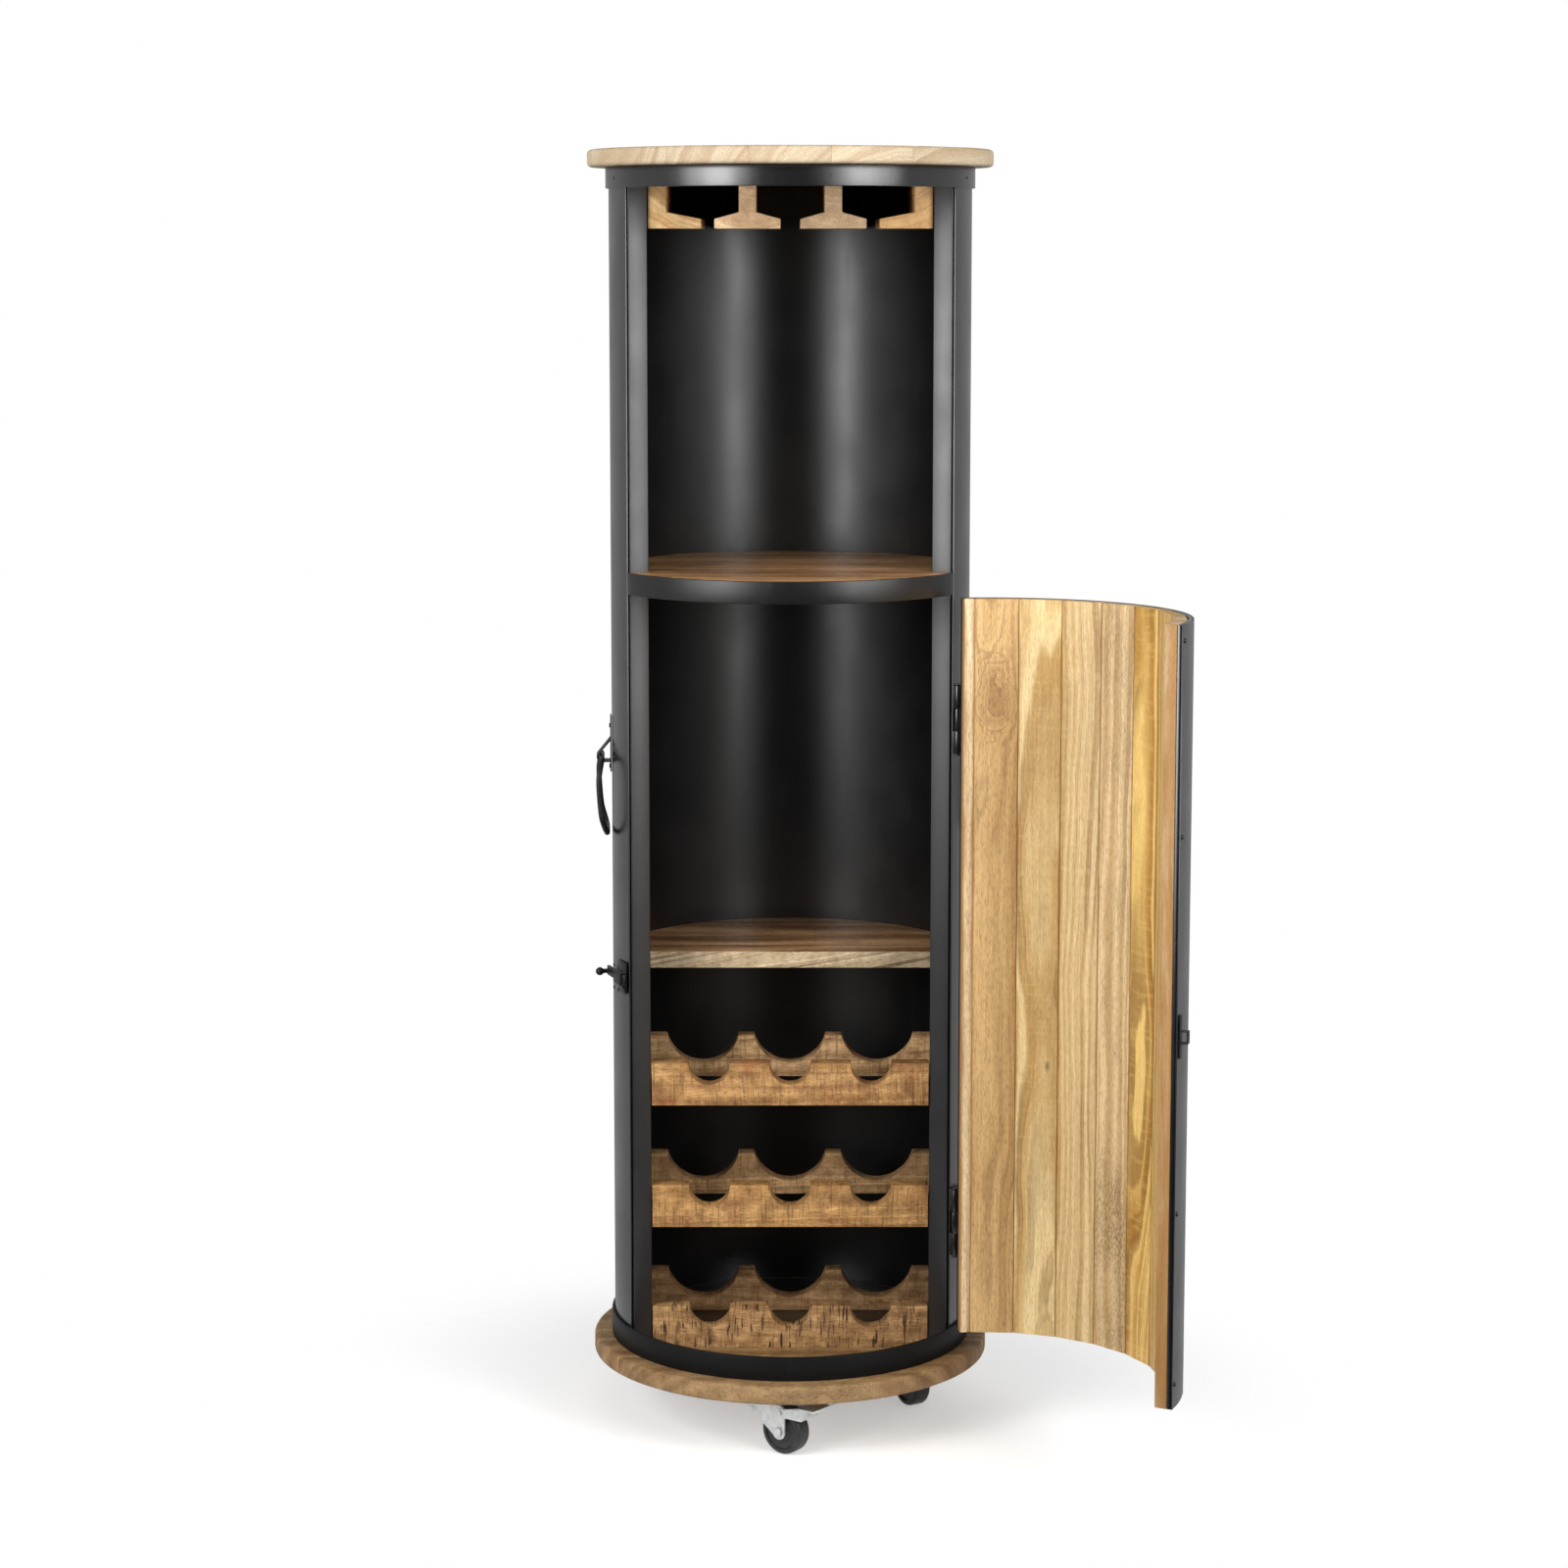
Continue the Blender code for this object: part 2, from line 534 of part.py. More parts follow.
def build_latch(cabinet, door, steel):
    """A slide bolt in its guide on the drum, and the keeper on the door's free edge."""
    level = BASE_TOP + LATCH_HEIGHT
    turn = (0, 0, LATCH_ANGLE)
    place = at(SHELL_RADIUS + SEAT, LATCH_ANGLE).to_3d()
    place.z = level
    slot_height = BOLT_HEIGHT + 2 * BOLT_PLAY
    guide_end = LATCH_SETBACK - GUIDE_INSET
    guide_start = guide_end - GUIDE_LENGTH
    body, slot = bridge(guide_start, guide_end, GUIDE_HEIGHT, LATCH_SHEET, slot_height,
                        BOLT_THICKNESS + 2 * BOLT_PLAY)
    guide = piece("latch_guide", body, steel, cabinet, place, turn)
    combine(guide, "DIFFERENCE", "latch_guide_slot", slot)

    bolt_low = -LATCH_SHEET - BOLT_PLAY
    bolt_face = bolt_low - BOLT_THICKNESS
    tail = guide_start - BOLT_TAIL
    bolt = box((tail, bolt_face, -BOLT_HEIGHT / 2), (LATCH_SETBACK, bolt_low, BOLT_HEIGHT / 2))
    bolt = piece("latch_bolt", bolt, steel, cabinet, place, turn)
    neck = math.asin(KNOB_STEM_RADIUS / KNOB_RADIUS)
    foot = BOLT_THICKNESS / 2
    ball_middle = BOLT_THICKNESS + KNOB_STEM + KNOB_RADIUS * math.cos(neck)
    ball = arc((0, ball_middle), KNOB_RADIUS, neck - math.pi / 2, math.pi / 2)
    profile = [(0, foot), (KNOB_STEM_RADIUS, foot)] + ball[:-1] + [(0, ball_middle + KNOB_RADIUS)]
    knob = turned(profile, SMALL_STEPS)
    bmesh.ops.rotate(knob, verts=knob.verts, cent=(0, 0, 0),
                     matrix=Vector((0, 0, 1)).rotation_difference(Vector((0, -1, 0))).to_matrix())
    bmesh.ops.translate(knob, verts=knob.verts, vec=(tail + KNOB_INSET, bolt_low, 0))
    combine(bolt, "UNION", "latch_knob", knob)

    hinge = at(HINGE_RADIUS, HINGE_ANGLE)
    spot = at(DOOR_RADIUS + SEAT, KEEPER_ANGLE) - hinge
    half = KEEPER_LENGTH / 2
    body, slot = bridge(-half, half, KEEPER_HEIGHT, KEEPER_SHEET, slot_height, KEEPER_GAP)
    keeper = piece("latch_keeper", body, steel, door, (spot.x, spot.y, level), (0, 0, KEEPER_ANGLE))
    combine(keeper, "DIFFERENCE", "latch_keeper_slot", slot)


def bail_path():
    """Closed loop of the bail about its pivot: (across, drop, outward)."""
    half, corner = BAIL_HALF_WIDTH, BAIL_CORNER
    lean = BAIL_STANDOFF - BAIL_RADIUS - BAIL_FOOT_GAP
    across, high, low = half - corner, -corner, corner - BAIL_DROP
    loop = []
    quarter = math.pi / 2
    for corner_index, centre in enumerate(((across, high), (across, low), (-across, low), (-across, high))):
        start = (1 - corner_index) * quarter
        loop += arc(centre, corner, start, start - quarter)
    path = []
    for across, height in loop:
        share = -height / BAIL_DROP
        path.append((across, height, BAIL_BOW * math.sin(math.pi * share) - lean * share))
    return path


def build_handles(cabinet, steel):
    """A bail in a bent strap on each flank."""
    level = BASE_TOP + HANDLE_HEIGHT
    eye = BAIL_RADIUS + BAIL_PLAY
    middle = (BAIL_STANDOFF, 0)
    sheet = STRAP_SHEET
    curl = (-math.pi / 2, STRAP_BROW)
    hole = [(sheet, -eye)] + arc(middle, eye, *curl) + [(sheet, STRAP_EYE_TOP - 2 * sheet)]
    wrap = [(sheet, -eye - sheet)] + arc(middle, eye + sheet, *curl) + [(sheet, STRAP_EYE_TOP)]
    outline = [(0, STRAP_BOTTOM), (sheet, STRAP_BOTTOM)] + wrap + [(sheet, STRAP_TOP), (0, STRAP_TOP)]
    width = STRAP_WIDTH / 2
    for word, side in (("left", -1), ("right", 1)):
        angle = side * math.pi / 2 + HANDLE_TURN
        place = at(SHELL_RADIUS + SEAT, angle).to_3d()
        place.z = level
        strap = prism([(side * out, up) for out, up in outline], -width, width, (0, 2, 1))
        strap = piece(f"{word}_handle_strap", strap, steel, cabinet, place, (0, 0, HANDLE_TURN))
        reach = width + CUT_OVERRUN
        hollow = prism([(side * out, up) for out, up in hole], -reach, reach, (0, 2, 1))
        combine(strap, "DIFFERENCE", f"{word}_handle_eye", hollow)
        spot = at(SHELL_RADIUS + SEAT + BAIL_STANDOFF, angle)
        pivot = empty(f"{word}_bail_pivot", (spot.x, spot.y, level), HANDLE_TURN, cabinet)
        curve = bpy.data.curves.new(f"{word}_handle_bail", "CURVE")
        curve.dimensions = "3D"
        curve.bevel_depth = BAIL_RADIUS
        curve.bevel_resolution = 1
        spline = curve.splines.new("POLY")
        path = bail_path()
        spline.points.add(len(path) - 1)
        for point, (across, height, out) in zip(spline.points, path):
            point.co = (side * out, across, height, 1)
        spline.use_cyclic_u = True
        curve.materials.append(steel)
        bail = bpy.data.objects.new(f"{word}_handle_bail", curve)
        bail.parent = pivot
        bpy.context.collection.objects.link(bail)


def rounded_square(half, corner):
    outline = []
    for quarter, (across, along) in enumerate(((1, 1), (-1, 1), (-1, -1), (1, -1))):
        centre = (across * (half - corner), along * (half - corner))
        outline += arc(centre, corner, quarter * math.pi / 2, (quarter + 1) * math.pi / 2)
    return outline


def fork_outline(crown):
    """Side view of the pressed fork, from its crown back and down to the axle ears."""
    axle = (CASTER_TRAIL, WHEEL_RADIUS)
    skirt = crown - FORK_EAR
    ear = arc(axle, FORK_EAR, EAR_FRONT, EAR_BACK)
    front = [(-FORK_HALF_LENGTH, crown), (-FORK_HALF_LENGTH, skirt)]
    back = [(CASTER_TRAIL + FORK_CHEEK, skirt), (FORK_HALF_LENGTH, crown)]
    return front + ear + back


def crosswise(radius, low, high):
    """A rod across a caster, from low to high along Y."""
    mesh = rod(radius, min(low, high), max(low, high))
    bmesh.ops.rotate(mesh, verts=mesh.verts, cent=(0, 0, 0),
                     matrix=Vector((0, 0, 1)).rotation_difference(Vector((0, 1, 0))).to_matrix())
    return mesh


def build_brake(word, swivel, fork, fork_half, zinc):
    """A pressed lever astride the fork, on a rivet in each cheek; its heel swings down on the tyre."""
    rivet = (CASTER_TRAIL + BRAKE_BACK, 0, WHEEL_RADIUS + BRAKE_RISE)
    inner = fork_half + SEAT
    outer = inner + BRAKE_SHEET
    tip = BRAKE_ARM + BRAKE_PEDAL + BRAKE_LIP
    top = BRAKE_STEP + BRAKE_SHEET
    outline = arc((0, 0), BRAKE_BOSS, math.pi / 2, 1.5 * math.pi) + [
        (BRAKE_ARM, -BRAKE_BOSS), (BRAKE_ARM, BRAKE_STEP), (BRAKE_ARM + BRAKE_PEDAL, BRAKE_STEP),
        (tip, BRAKE_STEP + BRAKE_LIP_RISE), (tip, top + BRAKE_LIP_RISE), (BRAKE_ARM + BRAKE_PEDAL, top),
        (BRAKE_ARM - BRAKE_SHEET, top)]
    pivot = empty(f"caster_{word}_brake_pivot", rivet, parent=swivel)
    lever = piece(f"caster_{word}_brake", prism(outline, -outer, outer, (0, 2, 1)), zinc, pivot)
    room = box((-BRAKE_BOSS - CUT_OVERRUN, -inner, -BRAKE_BOSS - CUT_OVERRUN),
               (BRAKE_ARM - BRAKE_SHEET, inner, top + CUT_OVERRUN))
    combine(lever, "DIFFERENCE", f"caster_{word}_brake_room", room)
    bore = crosswise(BRAKE_RIVET + PIN_PLAY, -outer - CUT_OVERRUN, outer + CUT_OVERRUN)
    combine(lever, "DIFFERENCE", f"caster_{word}_brake_bore", bore)
    for name, side in (("near", -1), ("far", 1)):
        stub = crosswise(BRAKE_RIVET, side * (fork_half - FORK_SHEET / 2), side * (outer + BRAKE_RIVET_END))
        bmesh.ops.translate(stub, verts=stub.verts, vec=rivet)
        combine(fork, "UNION", f"caster_{word}_brake_rivet_{name}", stub)


def build_caster(word, cabinet, zinc, rubber):
    """A swivel plate, a pressed fork that turns under it, and a wheel on its axle."""
    angle = math.radians(CASTER_ANGLES[word])
    spot = at(CASTER_CIRCLE, angle)
    plate_low = BASE_LOW - SEAT - PLATE_THICKNESS
    plate = prism(rounded_square(PLATE_SIDE / 2, PLATE_CORNER), plate_low, plate_low + PLATE_THICKNESS)
    piece(f"caster_{word}_plate", plate, zinc, cabinet, (spot.x, spot.y, 0), (0, 0, angle))

    swivel = empty(f"caster_{word}_swivel", (spot.x, spot.y, 0), math.radians(CASTER_TRAILS[word]), cabinet)
    race_top = plate_low - SEAT
    crown = race_top - SWIVEL_HEIGHT
    inner = WHEEL_WIDTH / 2 + WHEEL_PLAY
    outer = inner + FORK_SHEET
    fork = piece(f"caster_{word}_fork", prism(fork_outline(crown), -outer, outer, (0, 2, 1)), zinc, swivel)
    reach = FORK_HALF_LENGTH + FORK_EAR + CASTER_TRAIL
    channel = box((-reach, -inner, -CUT_OVERRUN), (reach, inner, crown - FORK_SHEET))
    combine(fork, "DIFFERENCE", f"caster_{word}_channel", channel)
    bore = crosswise(AXLE_RADIUS + PIN_PLAY, -outer - CUT_OVERRUN, outer + CUT_OVERRUN)
    bmesh.ops.translate(bore, verts=bore.verts, vec=(CASTER_TRAIL, 0, WHEEL_RADIUS))
    combine(fork, "DIFFERENCE", f"caster_{word}_axle_bore", bore)
    race = rod(SWIVEL_RADIUS, crown - FORK_SHEET / 2, race_top, WHEEL_STEPS)
    combine(fork, "UNION", f"caster_{word}_race", race)
    if word == BRAKED_CASTER:
        build_brake(word, swivel, fork, outer, zinc)

    hub = empty(f"caster_{word}_hub", (CASTER_TRAIL, 0, WHEEL_RADIUS), parent=swivel)
    lying = (math.pi / 2, 0, 0)
    stop = outer + SEAT
    axle = [(0, -stop - AXLE_HEAD), (AXLE_HEAD_RADIUS, -stop - AXLE_HEAD), (AXLE_HEAD_RADIUS, -stop),
            (AXLE_RADIUS, -stop), (AXLE_RADIUS, stop), (AXLE_HEAD_RADIUS, stop),
            (AXLE_HEAD_RADIUS, stop + AXLE_HEAD), (0, stop + AXLE_HEAD)]
    piece(f"caster_{word}_axle", turned(axle, SMALL_STEPS), zinc, hub, turn=lying)
    half = WHEEL_WIDTH / 2
    web = half - WHEEL_DISH
    shoulder = half - WHEEL_DISH / 2
    side = [(AXLE_RADIUS + PIN_PLAY, half), (WHEEL_HUB, half), (WHEEL_HUB + WHEEL_DISH, web),
            (WHEEL_RADIUS - WHEEL_TYRE, web), (WHEEL_RADIUS - WHEEL_CROWN, shoulder),
            (WHEEL_RADIUS, shoulder - WHEEL_CROWN)]
    profile = side + [(radius, -height) for radius, height in reversed(side)]
    piece(f"caster_{word}_wheel", turned(profile, WHEEL_STEPS, closed=True), rubber, hub, turn=lying)


def stand_on_origin(cabinet):
    """Moves the whole cabinet so that its box stands on z = 0, centred on the origin."""
    bpy.context.view_layer.update()
    graph = bpy.context.evaluated_depsgraph_get()
    corners = []
    for item in bpy.data.objects:
        if item.type == "EMPTY" or item.hide_render:
            continue
        made = item.evaluated_get(graph)
        mesh = made.to_mesh()
        corners += [made.matrix_world @ vertex.co for vertex in mesh.vertices]
        made.to_mesh_clear()
    low = Vector([min(c[axis] for c in corners) for axis in range(3)])
    high = Vector([max(c[axis] for c in corners) for axis in range(3)])
    cabinet.location = (-(low.x + high.x) / 2, -(low.y + high.y) / 2, -low.z)
    bpy.context.view_layer.update()
    print("size", [round(length, 4) for length in high - low])


def build():
    for item in list(bpy.data.objects):
        bpy.data.objects.remove(item, do_unlink=True)
    pale_wood = material("mango_wood", (0.55, 0.36, 0.18), 0.55)
    brown_wood = material("brown_shelf_wood", (0.28, 0.15, 0.07), 0.5)
    stave_wood = material("stave_wood", (0.62, 0.40, 0.17), 0.5)
    black = material("black_paint", (0.02, 0.02, 0.022), 0.4, 0.3)
    iron = material("black_iron", (0.018, 0.018, 0.019), 0.45, 0.6)
    zinc = material("zinc_plate", (0.62, 0.64, 0.66), 0.3, 1.0)
    rubber = material("black_rubber", (0.015, 0.015, 0.015), 0.6)

    cabinet = empty("cabinet", (0, 0, 0))
    hinge = at(HINGE_RADIUS, HINGE_ANGLE)
    door = empty("door_pivot", (hinge.x, hinge.y, 0), DOOR_OPEN, cabinet)
    build_boards(cabinet, pale_wood)
    build_drum(cabinet, black)
    build_shelves(cabinet, brown_wood)
    build_racks(cabinet, pale_wood)
    build_glass_rails(cabinet, pale_wood)
    build_door(door, stave_wood, black)
    build_hinges(cabinet, door, iron)
    build_latch(cabinet, door, iron)
    build_handles(cabinet, iron)
    for word in CASTER_ANGLES:
        build_caster(word, cabinet, zinc, rubber)
    stand_on_origin(cabinet)
    for item in bpy.data.objects:
        if item.type == "EMPTY":
            print(item.name, [round(place, 5) for place in item.matrix_world.translation])


build()
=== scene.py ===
"""Looks of a round wine cabinet on casters: each piece remade fine over its solid, with its own finish."""
import json
import math

import bmesh
import bpy
from mathutils import Euler, Matrix, Vector

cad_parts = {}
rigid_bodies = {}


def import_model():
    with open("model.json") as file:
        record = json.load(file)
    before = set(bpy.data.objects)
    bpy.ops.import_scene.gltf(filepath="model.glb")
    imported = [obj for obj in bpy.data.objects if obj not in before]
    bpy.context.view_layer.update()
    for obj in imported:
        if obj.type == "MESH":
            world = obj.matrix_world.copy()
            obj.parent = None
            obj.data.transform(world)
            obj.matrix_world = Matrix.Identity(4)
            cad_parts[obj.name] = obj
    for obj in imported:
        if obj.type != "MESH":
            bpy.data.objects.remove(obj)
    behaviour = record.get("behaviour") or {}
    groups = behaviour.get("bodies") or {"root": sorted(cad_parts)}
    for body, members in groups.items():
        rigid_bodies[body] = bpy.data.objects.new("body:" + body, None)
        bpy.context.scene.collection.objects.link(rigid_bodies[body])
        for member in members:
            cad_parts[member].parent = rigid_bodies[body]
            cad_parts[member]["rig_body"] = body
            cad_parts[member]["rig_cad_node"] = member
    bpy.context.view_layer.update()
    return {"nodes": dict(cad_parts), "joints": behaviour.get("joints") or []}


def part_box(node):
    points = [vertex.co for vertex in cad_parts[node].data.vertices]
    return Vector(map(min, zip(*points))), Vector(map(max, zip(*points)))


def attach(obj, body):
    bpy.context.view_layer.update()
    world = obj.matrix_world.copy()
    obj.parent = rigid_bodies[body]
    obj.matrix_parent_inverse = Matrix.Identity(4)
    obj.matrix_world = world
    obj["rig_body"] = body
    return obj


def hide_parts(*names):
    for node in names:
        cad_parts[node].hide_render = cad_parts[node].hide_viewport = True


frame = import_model()


# Base board
# The round foot of the cabinet, mango planks glued edge to edge and turned to a disc. The planks run
# from side to side. It is rounded over at both rims and oiled.
def start(add, name, **sizes):
    """Adds a primitive with nothing else selected and opens it for editing."""
    bpy.ops.object.select_all(action="DESELECT")
    add(**sizes)
    piece = bpy.context.object
    piece.name = piece.data.name = name
    bpy.ops.object.mode_set(mode="EDIT")
    return piece


def pick(piece, kind, test):
    """Selects the corners, edges or faces whose middle and direction pass a test."""
    bpy.ops.mesh.select_mode(type=kind)
    bpy.ops.mesh.select_all(action="DESELECT")
    mesh = bmesh.from_edit_mesh(piece.data)
    for part in {"VERT": mesh.verts, "EDGE": mesh.edges, "FACE": mesh.faces}[kind]:
        corners = [part] if kind == "VERT" else part.verts
        middle = sum((corner.co for corner in corners), Vector()) / len(corners)
        way = part.verts[1].co - part.verts[0].co if kind == "EDGE" else part.normal
        part.select_set(bool(test(middle, way.normalized())))
    mesh.select_flush_mode()
    bmesh.update_edit_mesh(piece.data)


def settle(piece):
    """Leaves edit mode and moves the piece's place into its mesh."""
    bpy.ops.object.mode_set(mode="OBJECT")
    bpy.ops.object.select_all(action="DESELECT")
    piece.select_set(True)
    bpy.context.view_layer.objects.active = piece
    bpy.ops.object.transform_apply(location=True, rotation=True, scale=True)
    return piece


def dress(piece, finish, slot, body, *nodes):
    """Gives a piece its finish and hangs it on the body whose solid it stands for."""
    piece.data.materials.clear()
    piece.data.materials.append(finish)
    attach(piece, body)
    if nodes:
        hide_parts(*nodes)
    return piece


def shade(red, green, blue):
    """A colour as it is seen on a screen, 0 to 255, as shader values."""
    seen = [part / 255 for part in (red, green, blue)]
    return (*[part / 12.92 if part <= 0.04045 else ((part + 0.055) / 1.055) ** 2.4 for part in seen], 1)


class Ink:
    """A socket in a node tree, so that shader maths reads as arithmetic."""

    def __init__(self, tree, socket=None):
        self.tree = tree
        self.socket = socket

    def node(self, kind, settings=(), sockets=(), out=0):
        """Adds a node, sets it up, feeds its sockets and gives one of its outputs."""
        made = self.tree.nodes.new("ShaderNode" + kind)
        for name, value in dict(settings).items():
            setattr(made, name, value)
        for key, value in dict(sockets).items():
            if isinstance(value, Ink):
                self.tree.links.new(value.socket, made.inputs[key])
            else:
                made.inputs[key].default_value = value
        return Ink(self.tree, made.outputs[out])

    def maths(self, how, first, second=0.0):
        """One step of maths on inks or numbers."""
        return self.node("Math", {"operation": how}, {0: first, 1: second})

    def __add__(self, other):
        return self.maths("ADD", self, other)

    def __sub__(self, other):
        return self.maths("SUBTRACT", self, other)

    def __rsub__(self, other):
        return self.maths("SUBTRACT", other, self)

    def __mul__(self, other):
        return self.maths("MULTIPLY", self, other)

    def __abs__(self):
        return self.maths("ABSOLUTE", self)

    __radd__ = __add__
    __rmul__ = __mul__

    def feed(self, shader, **sockets):
        """Links this tree's values to a shader, whose sockets are named with _ for a space."""
        for name, value in sockets.items():
            self.tree.links.new(value.socket, shader.inputs[name.replace("_", " ")])


def vectors(how, first, second, out="Vector"):
    """Vector maths of an ink and a vector."""
    return first.node("VectorMath", {"operation": how}, {0: first, 1: second}, out=out)


def stretched(spot, across, along, shift=0.0):
    """Coordinates drawn out so that a texture runs along the grain."""
    return spot.node("Mapping", sockets={"Vector": spot, "Location": (shift, 1.7 * shift, 2.3 * shift),
                                         "Scale": (across, across, along)})


def noise(spot, scale=1.0, detail=2.0, rough=0.5, twist=0.0):
    """Cloudy noise, about as many clouds to the metre as its scale says."""
    return spot.node("TexNoise", sockets={"Vector": spot, "Scale": scale, "Detail": detail,
                                          "Roughness": rough, "Distortion": twist})


def strata(distance, scale, detail=2.0):
    """Noise along one distance, as in the layers of a log."""
    return distance.node("TexNoise", {"noise_dimensions": "1D"},
                         {"W": distance, "Scale": scale, "Detail": detail})


def window(value, low, high):
    """Smooth step from 0 at low to 1 at high."""
    return value.node("MapRange", {"interpolation_type": "SMOOTHSTEP"},
                      {"Value": value, "From Min": low, "From Max": high})


def around(spot, place, squash):
    """Distance from a point, drawn out along the height."""
    return vectors("DISTANCE", vectors("MULTIPLY", spot, (1, 1, squash)),
                   (place[0], place[1], squash * place[2]), "Value")


def tint(first, second, amount, how="MIX"):
    """Lays the second colour over the first."""
    ink = next(part for part in (amount, first, second) if isinstance(part, Ink))
    settings = {"data_type": "RGBA", "blend_type": how}
    return ink.node("Mix", settings, {0: amount, 6: first, 7: second}, out=2)


def blank(name):
    """A new finish with its tree, its shader and its object coordinates."""
    finish = bpy.data.materials.new(name)
    finish.use_nodes = True
    ink = Ink(finish.node_tree)
    return finish, ink, finish.node_tree.nodes["Principled BSDF"], ink.node("TexCoord", out="Object")


LOG_TURNS = {"X": (0, -math.pi / 2, 0), "Y": (math.pi / 2, 0, 0), "Z": (0, 0, 0)}
FIBRE_TONES = (0.70, 0.67, 0.63, 1), (1.26, 1.26, 1.25, 1)
FLECK_TONES = (0.72, 0.69, 0.64, 1), (1.26, 1.27, 1.28, 1)
MOTTLE_TONES = (0.62, 0.56, 0.48, 1), (1.38, 1.40, 1.38, 1)
PLANK_TONES = (0.88, 0.86, 0.84, 1), (1.08, 1.08, 1.08, 1)
STAIN_COLOUR = shade(128, 66, 34)
TICK_COLOUR = shade(52, 30, 16)
GLUE_COLOUR = shade(158, 106, 40)
GLUE_WIDTH = 0.0042
SEAM_WIDTH = 0.0006
KNOT_SQUASH = 0.55
SMEAR_SQUASH = 0.35
SMEAR_REACH = 0.050


